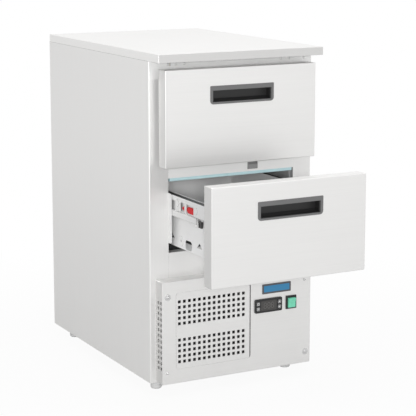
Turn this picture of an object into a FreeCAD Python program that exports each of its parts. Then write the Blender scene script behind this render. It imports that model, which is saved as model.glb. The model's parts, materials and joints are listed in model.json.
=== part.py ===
import FreeCAD, Part
import math
import os

import Sketcher

# A two-drawer counter fridge in millimetres: X across the front, Y towards the back, Z up from the floor.
# The origin lies on the floor, under the middle of the fridge as it stands with its lower drawer pulled out.

V = FreeCAD.Vector

document = FreeCAD.newDocument("drawer_counter_fridge")
sheet = document.addObject("Spreadsheet::Sheet", "Sizes")
nodes = []


class Size:
    """A length that carries both its value and the way in which the sheet's cells give it."""

    def __init__(self, value, text):
        self.value = float(value)
        self.text = text

    def __add__(self, other):
        return Size(self.value + number(other), "(%s + %s)" % (self.text, wording(other)))

    def __radd__(self, other):
        return Size(number(other) + self.value, "(%s + %s)" % (wording(other), self.text))

    def __sub__(self, other):
        return Size(self.value - number(other), "(%s - %s)" % (self.text, wording(other)))

    def __rsub__(self, other):
        return Size(number(other) - self.value, "(%s - %s)" % (wording(other), self.text))

    def __mul__(self, other):
        return Size(self.value * number(other), "(%s * %s)" % (self.text, wording(other)))

    def __rmul__(self, other):
        return Size(number(other) * self.value, "(%s * %s)" % (wording(other), self.text))

    def __truediv__(self, other):
        return Size(self.value / number(other), "(%s / %s)" % (self.text, wording(other)))

    def __neg__(self):
        return Size(-self.value, "(0 - %s)" % self.text)


def number(size):
    return size.value if isinstance(size, Size) else float(size)


def wording(size):
    return size.text if isinstance(size, Size) else "(%.9g)" % size


def cell(alias, value):
    """Writes one driving dimension to the sheet and returns it."""
    row = cell.next_row
    cell.next_row += 1
    sheet.set("A%d" % row, alias)
    sheet.set("B%d" % row, "%.9g" % value)
    sheet.setAlias("B%d" % row, alias)
    return Size(value, "Sizes." + alias)


cell.next_row = 1

# Cabinet
width = cell("width", 450)
cabinet_depth = cell("cabinet_depth", 611)
total_height = cell("total_height", 835)
foot_height = cell("foot_height", 30)
worktop_edge = cell("worktop_edge", 20)
worktop_overhang = cell("worktop_overhang", 54)
steel = cell("steel", 1)
skin_gap = cell("skin_gap", 0.5)
base_steel = cell("base_steel", 1.5)
bend = cell("bend", 3)
stile = cell("stile", 51)
back_wall = cell("back_wall", 40)
service_height = cell("service_height", 266)
rail_depth = cell("rail_depth", 25)
liner_sheet = cell("liner_sheet", 1)
liner_cove = cell("liner_cove", 6)
cavity_margin = cell("cavity_margin", 4)
deck_skirt = cell("deck_skirt", 20)
catch_x = cell("catch_x", 58)
catch_width = cell("catch_width", 29)
catch_top_room = cell("catch_top_room", 16)
strip_height = cell("strip_height", 7.5)
gland_proud = cell("gland_proud", 3)
gland_radius = cell("gland_radius", 8)
gland_inset = cell("gland_inset", 40)
rail_hole = cell("rail_hole", 3.5)
rail_hole_drop = cell("rail_hole_drop", 9.5)

# Drawer fronts and what seals them
front_margin = cell("front_margin", 19)
front_thickness = cell("front_thickness", 34)
front_above_deck = cell("front_above_deck", 29)
front_gap = cell("front_gap", 7.5)
gap_under_worktop = cell("gap_under_worktop", 18.5)
front_bend = cell("front_bend", 2)
seal_gap = cell("seal_gap", 16)
seal_inset = cell("seal_inset", 8)
seal_width = cell("seal_width", 14)
seal_land = cell("seal_land", 25)
drawer_open = cell("drawer_open", 228)

# Handle cups
cup_width = cell("cup_width", 174)
cup_height = cell("cup_height", 44)
cup_below_top = cell("cup_below_top", 42)
cup_depth = cell("cup_depth", 26)
cup_wall = cell("cup_wall", 2)
rim_proud = cell("rim_proud", 1.5)
rim_side = cell("rim_side", 7)
rim_foot = cell("rim_foot", 5)
rim_lip = cell("rim_lip", 11)
rim_corner = cell("rim_corner", 9)

# Drawer boxes and slides
slide_thickness = cell("slide_thickness", 13.5)
slide_height = cell("slide_height", 54)
slide_steel = cell("slide_steel", 1.4)
slide_clearance = cell("slide_clearance", 0.6)
box_below_front_top = cell("box_below_front_top", 59)
box_lift = cell("box_lift", 43)
box_steel = cell("box_steel", 1.2)
cooling_zone = cell("cooling_zone", 40)
box_clearance = cell("box_clearance", 11)
upright_depth = cell("upright_depth", 4)
upright_width = cell("upright_width", 30)
floor_bar = cell("floor_bar", 26)
floor_edge = cell("floor_edge", 36)
side_vents_start = cell("side_vents_start", 93.5)
side_vents_pitch = cell("side_vents_pitch", 141)
side_vents_lift = cell("side_vents_lift", 18)
triangle_width = cell("triangle_width", 27)
triangle_height = cell("triangle_height", 13)
slot_length = cell("slot_length", 34)
slot_height = cell("slot_height", 23)
slot_shift = cell("slot_shift", 55.5)
ring_radius = cell("ring_radius", 12)
ring_proud = cell("ring_proud", 0.8)
ring_bore = cell("ring_bore", 3)
ring_shift = cell("ring_shift", 93.5)
slide_start = cell("slide_start", 4)
middle_setback = cell("middle_setback", 4)
middle_share = cell("middle_share", 0.65)
middle_wall = cell("middle_wall", 1.2)
guide_length = cell("guide_length", 122)
rail_lip = cell("rail_lip", 13)
lever_plate_end = cell("lever_plate_end", 195)
lever_front = cell("lever_front", 104)
lever_length = cell("lever_length", 60)
lever_head = cell("lever_head", 15)
lever_head_length = cell("lever_head_length", 32)
lever_neck = cell("lever_neck", 7)
lever_tip = cell("lever_tip", 12)
lever_thickness = cell("lever_thickness", 2)
lever_tab = cell("lever_tab", 11)
pin_radius = cell("pin_radius", 1.5)
pin_clearance = cell("pin_clearance", 0.3)
emboss_radius = cell("emboss_radius", 9)
emboss_proud = cell("emboss_proud", 0.3)
end_setback = cell("end_setback", 15)
end_nose = cell("end_nose", 6)
end_reach = cell("end_reach", 12)
end_prong = cell("end_prong", 3)

# Service cover and its fittings
cover_margin = cell("cover_margin", 16)
cover_proud = cell("cover_proud", 34)
cover_top_gap = cell("cover_top_gap", 8)
cover_bend = cell("cover_bend", 2)
vent_pitch = cell("vent_pitch", 13.6)
vent_hole = cell("vent_hole", 7.6)
vent_columns = cell("vent_columns", 14)
vent_rows = cell("vent_rows", 5)
grille_width = cell("grille_width", 207)
grille_height = cell("grille_height", 191)
grille_left = cell("grille_left", 37)
grille_top = cell("grille_top", 30)
grille_border = cell("grille_border", 6)
grille_seam = cell("grille_seam", 0.6)
grille_slot = cell("grille_slot", 2.6)
grille_corner = cell("grille_corner", 8)
block_gap = cell("block_gap", 41)
vents_drop = cell("vents_drop", 23)
screw_shank = cell("screw_shank", 2)
controls_z = cell("controls_z", 196)
thermostat_x = cell("thermostat_x", 85)
switch_x = cell("switch_x", 151)
bezel_width = cell("bezel_width", 78)
bezel_height = cell("bezel_height", 35)
bezel_proud = cell("bezel_proud", 4)
key_side = cell("key_side", 9)
key_travel = cell("key_travel", 0.6)
key_clearance = cell("key_clearance", 0.35)
switch_width = cell("switch_width", 30)
switch_height = cell("switch_height", 34)
rocker_tilt = cell("rocker_tilt", 9)

# Cooling machinery
condenser_width = cell("condenser_width", 176)
condenser_height = cell("condenser_height", 186)
condenser_thickness = cell("condenser_thickness", 38)
condenser_front = cell("condenser_front", 6)
fin = cell("fin", 1.2)
fin_spine = cell("fin_spine", 5)
elbow_radius = cell("elbow_radius", 9)
fan_radius = cell("fan_radius", 72)
fan_clearance = cell("fan_clearance", 3)
compressor_radius = cell("compressor_radius", 72)
compressor_height = cell("compressor_height", 165)
compressor_x = cell("compressor_x", 62)
compressor_from_back = cell("compressor_from_back", 128)
compressor_mount = cell("compressor_mount", 12)
pipe_radius = cell("pipe_radius", 3)
cold_fan_radius = cell("cold_fan_radius", 40)

# Feet
foot_radius = cell("foot_radius", 14)
stud_radius = cell("stud_radius", 5)
stud_length = cell("stud_length", 34)
foot_inset = cell("foot_inset", 40)

document.recompute()

# Places that follow from the driving sizes
half_width = width / 2
opening_half = half_width - stile
worktop_bottom = total_height - worktop_edge
deck_bottom = foot_height + service_height
first_front = deck_bottom + front_above_deck
front_height = (worktop_bottom - gap_under_worktop - first_front - front_gap) / 2
front_pitch = front_height + front_gap
front_half = half_width - front_margin
front_back = -seal_gap
front_face = -(seal_gap + front_thickness)
front_plane = (rim_proud + front_thickness + seal_gap + drawer_open - cabinet_depth - gland_proud) / 2
liner_half = opening_half + upright_depth + liner_sheet
liner_back = cabinet_depth - back_wall + liner_sheet
cavity_bottom = first_front + seal_land - cavity_margin - liner_sheet
top_rail_bottom = worktop_bottom - gap_under_worktop - seal_land
cavity_top = top_rail_bottom + cavity_margin + liner_sheet
cross_rail_bottom = first_front + front_height - seal_land
cross_rail_top = first_front + front_pitch + seal_land
box_half = opening_half - slide_thickness
box_back = cabinet_depth - back_wall - cooling_zone - box_clearance
box_top = front_height - box_below_front_top
slide_top = box_top - 1
slide_end = box_back - 16
cover_half = half_width - cover_margin
cover_bottom = foot_height + 2
cover_top = deck_bottom - cover_top_gap
cover_face = -cover_proud


def bind(item, name, size):
    """Sets one property of an object, tied to the sheet where the size comes from it."""
    if isinstance(size, Size):
        item.setExpression(name, size.text)
    else:
        setattr(item, name, size)


def place(item, x, y, z):
    for axis, size in zip("xyz", (x, y, z)):
        item.setExpression("Placement.Base." + axis, wording(size))
    return item


def node(label, item, x, y, z):
    """Names a finished sub-part, puts it in its place in the fridge and keeps it for export."""
    item.Label = label
    place(item, x, y, z)
    nodes.append(item)
    return item


def body(name):
    return document.addObject("PartDesign::Body", name + "_body")


def sketch_on(owner, plane, offset=0):
    """A sketch on one of the body's origin planes, moved along that plane's normal by offset."""
    planes = {feature.Role: feature for feature in owner.Origin.OriginFeatures}
    sketch = owner.newObject("Sketcher::SketchObject", owner.Name + "_sketch")
    sketch.AttachmentSupport = [(planes[plane + "_Plane"], "")]
    sketch.MapMode = "FlatFace"
    distance = offset if isinstance(offset, Size) else Size(offset, wording(offset))
    bind(sketch, "AttachmentOffset.Base.z", distance)
    return sketch


def fix_point(sketch, geometry, point, place_2d):
    """Holds a point of the sketch at two distances from the sketch's origin."""
    for kind, size in zip(("DistanceX", "DistanceY"), place_2d):
        index = sketch.addConstraint(Sketcher.Constraint(kind, -1, 1, geometry, point, number(size)))
        sketch.setExpression("Constraints[%d]" % index, wording(size))


def polygon(sketch, corners):
    first = sketch.GeometryCount
    points = [V(number(x), number(y), 0) for x, y in corners]
    for start, end in zip(points, points[1:] + points[:1]):
        sketch.addGeometry(Part.LineSegment(start, end), False)
    count = len(points)
    for index in range(count):
        following = first + (index + 1) % count
        sketch.addConstraint(Sketcher.Constraint("Coincident", first + index, 2, following, 1))
    for index, corner in enumerate(corners):
        fix_point(sketch, first + index, 1, corner)


def rectangle(sketch, low_x, low_y, high_x, high_y):
    polygon(sketch, [(low_x, low_y), (high_x, low_y), (high_x, high_y), (low_x, high_y)])


def circle(sketch, x, y, radius):
    geometry = sketch.addGeometry(Part.Circle(V(number(x), number(y), 0), V(0, 0, 1), number(radius)), False)
    fix_point(sketch, geometry, 3, (x, y))
    index = sketch.addConstraint(Sketcher.Constraint("Radius", geometry, number(radius)))
    sketch.setExpression("Constraints[%d]" % index, wording(radius))


def pad(owner, sketch, length, backwards=False, both_ways=False, taper=0):
    feature = owner.newObject("PartDesign::Pad", owner.Name + "_pad")
    feature.Profile = sketch
    bind(feature, "Length", length)
    feature.Reversed = backwards
    feature.SideType = "Symmetric" if both_ways else "One side"
    feature.TaperAngle = taper
    document.recompute()
    return feature


def pocket(owner, sketch, length, backwards=False, both_ways=False, taper=0):
    """Cuts the sketch into the body and makes sure that the cut took something away."""
    before = owner.Shape.Volume
    feature = owner.newObject("PartDesign::Pocket", owner.Name + "_pocket")
    feature.Profile = sketch
    bind(feature, "Length", length)
    feature.Reversed = backwards
    feature.SideType = "Symmetric" if both_ways else "One side"
    feature.TaperAngle = taper
    document.recompute()
    if owner.Shape.Volume >= before - 1e-6:
        raise RuntimeError("a pocket cut nothing in " + owner.Name)
    return feature


def grid(owner, feature, sketch, pitch, columns, rows):
    """Repeats a cut on a square pitch, along the sketch's horizontal and downwards."""
    pattern = owner.newObject("PartDesign::LinearPattern", owner.Name + "_pattern")
    pattern.Originals = [feature]
    pattern.Direction = (sketch, ["H_Axis"])
    pattern.Direction2 = (sketch, ["V_Axis"])
    pattern.Reversed2 = True
    bind(pattern, "Length", pitch * (columns - 1))
    bind(pattern, "Occurrences", columns)
    bind(pattern, "Length2", pitch * (rows - 1))
    bind(pattern, "Occurrences2", rows)
    owner.Tip = pattern
    document.recompute()
    return pattern


def names_of(kind, items, test):
    return ["%s%d" % (kind, index + 1) for index, item in enumerate(items) if test(item)]


def faces_at(feature, axis, position):
    """Flat faces that lie across an axis at a position along it."""
    def lies_there(face):
        box = face.BoundBox
        low, high = getattr(box, axis + "Min"), getattr(box, axis + "Max")
        return high - low < 1e-5 and abs(low - number(position)) < 1e-4
    return names_of("Face", feature.Shape.Faces, lies_there)


def is_curve(edge, kind):
    return not edge.Degenerated and edge.Curve.TypeId == kind


def edges_along(feature, axis, test=None):
    """Straight edges that run along an axis, those whose middle passes the test where one is given."""
    def runs_there(edge):
        if not is_curve(edge, "Part::GeomLine"):
            return False
        start, end = edge.Vertexes[0].Point, edge.Vertexes[-1].Point
        run = (end - start).normalize()
        return abs(getattr(run, axis)) > 0.9999 and (test is None or test((start + end) / 2))
    return names_of("Edge", feature.Shape.Edges, runs_there)


def edges_at(feature, axis, position, test=None):
    """Edges that lie wholly in the plane across an axis at a position."""
    def lies_there(edge):
        box = edge.BoundBox
        low, high = getattr(box, axis.upper() + "Min"), getattr(box, axis.upper() + "Max")
        flat = high - low < 1e-4 and abs(low - number(position)) < 1e-4
        return flat and (test is None or test(edge.BoundBox.Center))
    return names_of("Edge", feature.Shape.Edges, lies_there)


def round_off(owner, feature, edges, radius):
    if not edges:
        raise RuntimeError("no edge to round in " + owner.Name)
    rounding = owner.newObject("PartDesign::Fillet", owner.Name + "_fillet")
    rounding.Base = (feature, edges)
    bind(rounding, "Radius", radius)
    document.recompute()
    return rounding


def hollow(owner, feature, open_faces, wall):
    """Turns a body into folded sheet of even thickness, open at the given faces."""
    if not open_faces:
        raise RuntimeError("no face to open in " + owner.Name)
    shell = owner.newObject("PartDesign::Thickness", owner.Name + "_shell")
    shell.Base = (feature, open_faces)
    bind(shell, "Value", wall)
    shell.Reversed = True
    document.recompute()
    return shell


def folded_tray(owner, low, high, face, back, corner, wall):
    """A steel tray, open at its back, with rounded folds: low and high are its corners in front view."""
    sketch = sketch_on(owner, "XZ", -face)
    rectangle(sketch, low[0], low[1], high[0], high[1])
    slab = pad(owner, sketch, back - face, backwards=True)
    bent = round_off(owner, slab, edges_along(slab, "y") + edges_at(slab, "y", face), corner)
    inside = sketch_on(owner, "XZ", -back)
    rectangle(inside, low[0] + wall, low[1] + wall, high[0] - wall, high[1] - wall)
    room = pocket(owner, inside, back - face - wall, backwards=True)

    def is_inside(point):
        across = number(low[0] + wall) - 1e-4 < point.x < number(high[0] - wall) + 1e-4
        return across and number(low[1] + wall) - 1e-4 < point.z < number(high[1] - wall) + 1e-4

    folds = edges_along(room, "y", is_inside) + edges_at(room, "y", face + wall)
    return round_off(owner, room, folds, corner - wall)


def block(low, high):
    """A box between two corners."""
    item = document.addObject("Part::Box", "block")
    for name, start, end in zip(("Length", "Width", "Height"), low, high):
        named = isinstance(end, Size) or isinstance(start, Size)
        bind(item, name, end - start if named else float(end - start))
    return place(item, *low)


def rod(radius, length, start, axis="z"):
    """A cylinder that runs from start along an axis."""
    item = document.addObject("Part::Cylinder", "rod")
    bind(item, "Radius", radius)
    bind(item, "Height", length)
    turns = {"x": FreeCAD.Rotation(V(0, 1, 0), 90), "y": FreeCAD.Rotation(V(1, 0, 0), -90),
             "z": FreeCAD.Rotation()}
    item.Placement = FreeCAD.Placement(V(), turns[axis])
    return place(item, *start)


def fuse(items):
    joined = document.addObject("Part::MultiFuse", "joined")
    joined.Shapes = items
    joined.Refine = True
    return joined


def cut(base, tools):
    carved = document.addObject("Part::Cut", "carved")
    carved.Base = base
    carved.Tool = tools[0] if len(tools) == 1 else fuse(tools)
    return carved


def group(items):
    gathered = document.addObject("Part::Compound", "gathered")
    gathered.Links = items
    return gathered


def rounded(item, edge_test, radius):
    """A Part fillet on the edges that pass the test."""
    document.recompute()
    rounding = document.addObject("Part::Fillet", "rounded")
    rounding.Base = item
    chosen = [index + 1 for index, edge in enumerate(item.Shape.Edges) if edge_test(edge)]
    rounding.Edges = [(index, number(radius), number(radius)) for index in chosen]
    return rounding


def shaped(name, shape):
    """A sub-part whose shape comes straight from curves and lofts."""
    item = document.addObject("Part::Feature", name)
    item.Shape = shape
    return item


def round_edge_at(axis, position, radius=None):
    """A test for circular edges lying across an axis at a position, of one radius where it is given."""
    def test(edge):
        if not is_curve(edge, "Part::GeomCircle"):
            return False
        if radius is not None and abs(edge.Curve.Radius - number(radius)) > 1e-4:
            return False
        return abs(getattr(edge.Curve.Center, axis) - number(position)) < 1e-4
    return test


# Cabinet shell

def make_worktop():
    """A folded steel top with a filled underside."""
    owner = body("worktop")
    sketch = sketch_on(owner, "XY", worktop_bottom)
    rectangle(sketch, -half_width, -worktop_overhang, half_width, cabinet_depth)
    slab = pad(owner, sketch, worktop_edge)
    corners = round_off(owner, slab, edges_along(slab, "z"), 2)
    round_off(owner, corners, edges_at(corners, "z", total_height), 1.5)
    node("worktop", owner, 0, front_plane, 0)


def make_side_panel(label, side):
    """A steel side that folds round the front to make the stile, and round the back."""
    owner = body(label)
    sketch = sketch_on(owner, "XY", foot_height)
    outer = side * half_width
    inner = side * opening_half
    polygon(sketch, [(outer, 0), (inner, 0), (inner, cabinet_depth), (outer, cabinet_depth)])
    column = pad(owner, sketch, worktop_bottom - foot_height)
    front_corner = edges_along(column, "z", lambda p: abs(p.x - outer.value) < 1e-4 and abs(p.y) < 1e-4)
    bent = round_off(owner, column, front_corner, bend)
    openings = faces_at(bent, "Z", foot_height) + faces_at(bent, "Z", worktop_bottom)
    openings += faces_at(bent, "X", inner)
    hollow(owner, bent, openings, steel)
    notch = sketch_on(owner, "XZ")
    rectangle(notch, side * (half_width - bend - 1), top_rail_bottom, inner + side * -5, worktop_bottom + 5)
    pocket(owner, notch, rail_depth)
    node(label, owner, 0, front_plane, 0)


def make_back_panel():
    """A steel back with air slots behind the machinery and a hole for the supply lead."""
    owner = body("back_panel")
    sketch = sketch_on(owner, "XZ", -cabinet_depth)
    rectangle(sketch, -opening_half, foot_height, opening_half, worktop_bottom)
    pad(owner, sketch, steel)
    slot = sketch_on(owner, "XZ", -cabinet_depth)
    slot_length = opening_half * 0.42
    rectangle(slot, -opening_half * 0.9, deck_bottom - 48, slot_length - opening_half * 0.9, deck_bottom - 42)
    first = pocket(owner, slot, steel * 2, backwards=True)
    pattern = owner.newObject("PartDesign::LinearPattern", "back_slots")
    pattern.Originals = [first]
    pattern.Direction = (slot, ["H_Axis"])
    pattern.Direction2 = (slot, ["V_Axis"])
    pattern.Reversed2 = True
    bind(pattern, "Length", slot_length * 2.4)
    pattern.Occurrences = 3
    pattern.Length2 = 110
    pattern.Occurrences2 = 11
    owner.Tip = pattern
    lead_hole = sketch_on(owner, "XZ", -cabinet_depth)
    circle(lead_hole, gland_x, gland_z, gland_radius)
    pocket(owner, lead_hole, steel * 2, backwards=True)
    node("back_panel", owner, 0, front_plane, 0)


gland_x = opening_half - gland_inset
gland_z = foot_height + gland_inset


def make_cord_gland():
    """The bush in the back where the supply lead goes in."""
    flange = rod(gland_radius + 4, gland_proud, (gland_x, cabinet_depth, gland_z), "y")
    neck = rod(gland_radius - 0.2, 14, (gland_x, cabinet_depth - 14, gland_z), "y")
    dome = rounded(flange, round_edge_at("y", cabinet_depth + gland_proud), 1.5)
    bore = rod(gland_radius - 4, 30, (gland_x, cabinet_depth - 20, gland_z), "y")
    node("cord_gland", cut(fuse([dome, neck]), [bore]), 0, front_plane, 0)


def make_top_rail():
    """The rail under the worktop, with the row of fixing holes that shows above the upper drawer."""
    owner = body("top_rail")
    sketch = sketch_on(owner, "XZ")
    end = half_width - bend - 1
    rectangle(sketch, -end, top_rail_bottom, end, worktop_bottom)
    bar = pad(owner, sketch, rail_depth, backwards=True)
    openings = faces_at(bar, "Y", rail_depth) + faces_at(bar, "Z", worktop_bottom)
    openings += faces_at(bar, "X", end) + faces_at(bar, "X", -end)
    hollow(owner, bar, openings, steel)
    holes = sketch_on(owner, "XZ", 5)
    hole_z = worktop_bottom - rail_hole_drop
    for offset in (0, 21, 44):
        circle(holes, -opening_half + offset, hole_z, rail_hole)
    for offset in (14, 38, -28):
        circle(holes, opening_half - offset, hole_z, rail_hole)
    slit = -opening_half + 6
    rectangle(holes, slit - 1, hole_z - 4, slit + 1, hole_z + 4)
    pocket(owner, holes, 10)
    node("top_rail", owner, 0, front_plane, 0)


catch_bottom = cross_rail_bottom + 5
catch_top = cross_rail_top - catch_top_room


def make_cross_rail():
    """The rail between the two drawers, a tray of steel with a window for the catch."""
    owner = body("cross_rail")
    sketch = sketch_on(owner, "XZ")
    rectangle(sketch, -opening_half, cross_rail_bottom, opening_half, cross_rail_top)
    bar = pad(owner, sketch, rail_depth, backwards=True)
    hollow(owner, bar, faces_at(bar, "Y", rail_depth), steel)
    window = sketch_on(owner, "XZ", 5)
    half = catch_width / 2
    rectangle(window, catch_x - half, catch_bottom, catch_x + half, catch_top)
    pocket(owner, window, 5 + steel * 2)
    node("cross_rail", owner, 0, front_plane, 0)


def make_rail_catch():
    """The grey catch let into the cross rail, a cup with a bar across it."""
    owner = body("rail_catch")
    low = catch_bottom + key_clearance
    high = catch_top - key_clearance
    half = catch_width / 2 - key_clearance
    sketch = sketch_on(owner, "XZ")
    rectangle(sketch, catch_x - half, low, catch_x + half, high)
    cup = pad(owner, sketch, 8, backwards=True)
    hollow_cup = sketch_on(owner, "XZ")
    rectangle(hollow_cup, catch_x - half + 2, low + 12, catch_x + half - 2, high - 2)
    pocket(owner, hollow_cup, 6)
    collar = sketch_on(owner, "XZ", -steel)
    rectangle(collar, catch_x - half - 3, low - 3, catch_x + half + 3, high + 3)
    rectangle(collar, catch_x - half + 1, low + 1, catch_x + half - 1, high - 1)
    pad(owner, collar, 1.5, backwards=True)
    node("rail_catch", owner, 0, front_plane, 0)


def make_cross_rail_strip():
    """The blue strip under the cross rail's front edge."""
    owner = body("cross_rail_strip")
    sketch = sketch_on(owner, "XZ")
    end = opening_half - slide_start
    rectangle(sketch, -end, cross_rail_bottom - strip_height, end, cross_rail_bottom)
    bar = pad(owner, sketch, rail_depth - 5, backwards=True)
    lower_front = edges_along(bar, "x", lambda p: p.z < cross_rail_bottom.value - 1)
    round_off(owner, bar, lower_front, 1.5)
    node("cross_rail_strip", owner, 0, front_plane, 0)


def between_panels(low_z, high_z):
    """A block that fills the cabinet between its side panels, with its corners eased to clear their folds."""
    low = (steel - half_width, steel, low_z)
    high = (half_width - steel, cabinet_depth - steel, high_z)

    def upright(edge):
        return edge.BoundBox.ZLength > 1e-3

    return rounded(block(low, high), upright, bend)


def make_cabinet_deck():
    """The folded sheet that makes the lower rail, hangs behind the cover and carries the insulated part."""
    skirt_bottom = deck_bottom - deck_skirt
    rail = block((-opening_half, 0, skirt_bottom), (opening_half, steel, first_front + seal_land))
    floor = between_panels(deck_bottom, deck_bottom + steel)
    lip_top = first_front + seal_land
    lip = block((-opening_half, 0, lip_top - steel), (opening_half, rail_depth, lip_top))
    node("cabinet_deck", fuse([rail, floor, lip]), 0, front_plane, 0)


def top_rail_room():
    """The space that the top rail takes out of the foam and the lining."""
    low = (-half_width, -5, top_rail_bottom - skin_gap)
    return block(low, (half_width, rail_depth + skin_gap, worktop_bottom + 5))


def make_insulation():
    """The foam between the outer steel and the liner."""
    outside = between_panels(deck_bottom + steel, worktop_bottom)
    cavity = block((-liner_half, -5, cavity_bottom), (liner_half, liner_back, cavity_top))
    node("insulation", cut(outside, [cavity, top_rail_room()]), 0, front_plane, 0)


def coved_block(inset):
    """The block of the cold space, with its corners and its back edges rounded."""
    owner = body("coved_block")
    sketch = sketch_on(owner, "XZ", -steel)
    rectangle(sketch, inset - liner_half, cavity_bottom + inset, liner_half - inset, cavity_top - inset)
    back = liner_back - inset
    room = pad(owner, sketch, back - steel, backwards=True)
    round_off(owner, room, edges_along(room, "y") + edges_at(room, "y", back), liner_cove - inset)
    return owner


def make_inner_liner():
    """The lining of the cold space, with coved corners."""
    node("inner_liner", cut(coved_block(0), [coved_block(liner_sheet), top_rail_room()]), 0, front_plane, 0)


def make_base_tray():
    """The tray that carries the machinery, with a nut welded over each foot."""
    owner = body("base_tray")
    sketch = sketch_on(owner, "XY", foot_height)
    rectangle(sketch, steel - half_width, steel, half_width - steel, cabinet_depth - steel)
    tray = pad(owner, sketch, 20)
    eased = round_off(owner, tray, edges_along(tray, "z"), bend)
    hollow(owner, eased, faces_at(eased, "Z", foot_height + 20), base_steel)
    nuts = sketch_on(owner, "XY", foot_height)
    for x, y in foot_places():
        circle(nuts, x, y, stud_radius * 2)
    pad(owner, nuts, 12)
    holes = sketch_on(owner, "XY", foot_height - 1)
    for x, y in foot_places():
        circle(holes, x, y, stud_radius + 0.3)
    pocket(owner, holes, 20, backwards=True)
    node("base_tray", owner, 0, front_plane, 0)


def foot_places():
    side = half_width - foot_inset
    return [(x, y) for x in (-side, side) for y in (foot_inset + 10, cabinet_depth - foot_inset - 10)]


def make_feet():
    """Four levelling feet, screwed right in."""
    names = ("foot_front_left", "foot_back_left", "foot_front_right", "foot_back_right")
    for label, (x, y) in zip(names, foot_places()):
        owner = body(label)
        sketch = sketch_on(owner, "XZ")
        top = foot_height - 0.3
        outline = [(0, 0), (foot_radius - 2, 0), (foot_radius, 3), (foot_radius, 9), (foot_radius - 2.5, 12)]
        outline += [(foot_radius - 2.5, top), (stud_radius, top), (stud_radius, top + stud_length),
                    (0, top + stud_length)]
        polygon(sketch, outline)
        turned = owner.newObject("PartDesign::Revolution", label + "_turned")
        turned.Profile = sketch
        turned.ReferenceAxis = (sketch, ["V_Axis"])
        turned.Angle = 360
        node(label, owner, x, front_plane + y, 0)


# Drawers, each made in its own frame: y from the cabinet's front when shut, z from its front's lower edge

cup_top = front_height - cup_below_top
cup_bottom = cup_top - cup_height


def cup_hollow(sketch):
    """The hollow of the handle in side view: it reaches up behind the front lip."""
    lip = cup_top - rim_lip
    mouth = front_face - rim_proud
    back = front_face + cup_depth - cup_wall
    low = cup_bottom + rim_foot
    high = cup_top - cup_wall - 3
    polygon(sketch, [(mouth - 1, low), (back - 6, low), (back, low + 6), (back, high - 8), (back - 8, high),
                     (front_face + 4, high), (front_face + 1.5, lip), (mouth - 1, lip)])


def make_handle(label, y, z):
    """A moulded cup with a flat rim and a lip to pull on."""
    owner = body(label)
    rim_sketch = sketch_on(owner, "XZ", -front_face)
    rectangle(rim_sketch, -cup_width / 2, cup_bottom, cup_width / 2, cup_top)
    rim = pad(owner, rim_sketch, rim_proud)
    low_corners = edges_along(rim, "y", lambda p: p.z < cup_bottom.value + 1)
    curved = round_off(owner, rim, low_corners, rim_corner)
    high_corners = edges_along(curved, "y", lambda p: p.z > cup_top.value - 1)
    squared = round_off(owner, curved, high_corners, 2)
    softened = round_off(owner, squared, edges_at(squared, "y", front_face - rim_proud), 0.8)
    well_sketch = sketch_on(owner, "XZ", -front_face)
    well_half = cup_width / 2 - 3
    rectangle(well_sketch, -well_half, cup_bottom + 2, well_half, cup_top - 2)
    pad(owner, well_sketch, cup_depth, backwards=True)
    hollow_sketch = sketch_on(owner, "YZ")
    cup_hollow(hollow_sketch)
    pocket(owner, hollow_sketch, cup_width - rim_side * 2, both_ways=True)
    node(label, owner, 0, y, z)


def make_front_skin(label, y, z):
    """The folded steel face of a drawer, cut out for its handle."""
    owner = body(label)
    folded_tray(owner, (-front_half, 0), (front_half, front_height), front_face, front_back, front_bend,
                steel)
    window = sketch_on(owner, "XZ", -front_face)
    half = cup_width / 2 - 3 + skin_gap
    rectangle(window, -half, cup_bottom + 2 - skin_gap, half, cup_top - 2 + skin_gap)
    pocket(owner, window, steel * 2)
    node(label, owner, 0, y, z)


def make_front_core(label, y, z):
    """The filled back of a drawer front, with a pocket for the handle cup."""
    owner = body(label)
    inset = steel + skin_gap
    sketch = sketch_on(owner, "XZ", -(front_face + steel))
    rectangle(sketch, inset - front_half, inset, front_half - inset, front_height - inset)
    slab = pad(owner, sketch, front_thickness - steel, backwards=True)
    round_off(owner, slab, edges_along(slab, "y") + edges_at(slab, "y", front_face + steel), front_bend)
    room = sketch_on(owner, "XZ", -(front_face + steel))
    half = cup_width / 2 - 3 + skin_gap
    rectangle(room, -half, cup_bottom + 2 - skin_gap, half, cup_top - 2 + skin_gap)
    pocket(owner, room, cup_depth - steel + skin_gap)
    node(label, owner, 0, y, z)


def make_gasket(label, y, z):
    """The seal round the back of a drawer front, a rounded bellows."""
    owner = body(label)
    sketch = sketch_on(owner, "XZ", seal_gap)
    outer = front_half - seal_inset
    inner = outer - seal_width
    rectangle(sketch, -outer, seal_inset, outer, front_height - seal_inset)
    rectangle(sketch, -inner, seal_inset + seal_width, inner, front_height - seal_inset - seal_width)
    ring = pad(owner, sketch, seal_gap - 0.4, backwards=True)
    outer_corners = edges_along(ring, "y", lambda p: abs(abs(p.x) - outer.value) < 1e-4)
    round_off(owner, ring, outer_corners, 10)
    fold = sketch_on(owner, "XZ", seal_gap - 4)
    rectangle(fold, -outer - 1, seal_inset - 1, outer + 1, front_height - seal_inset + 1)
    rectangle(fold, 4 - outer, seal_inset + 4, outer - 4, front_height - seal_inset - 4)
    pocket(owner, fold, 3)
    node(label, owner, 0, y, z)


side_vents_z = box_lift + side_vents_lift


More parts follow.
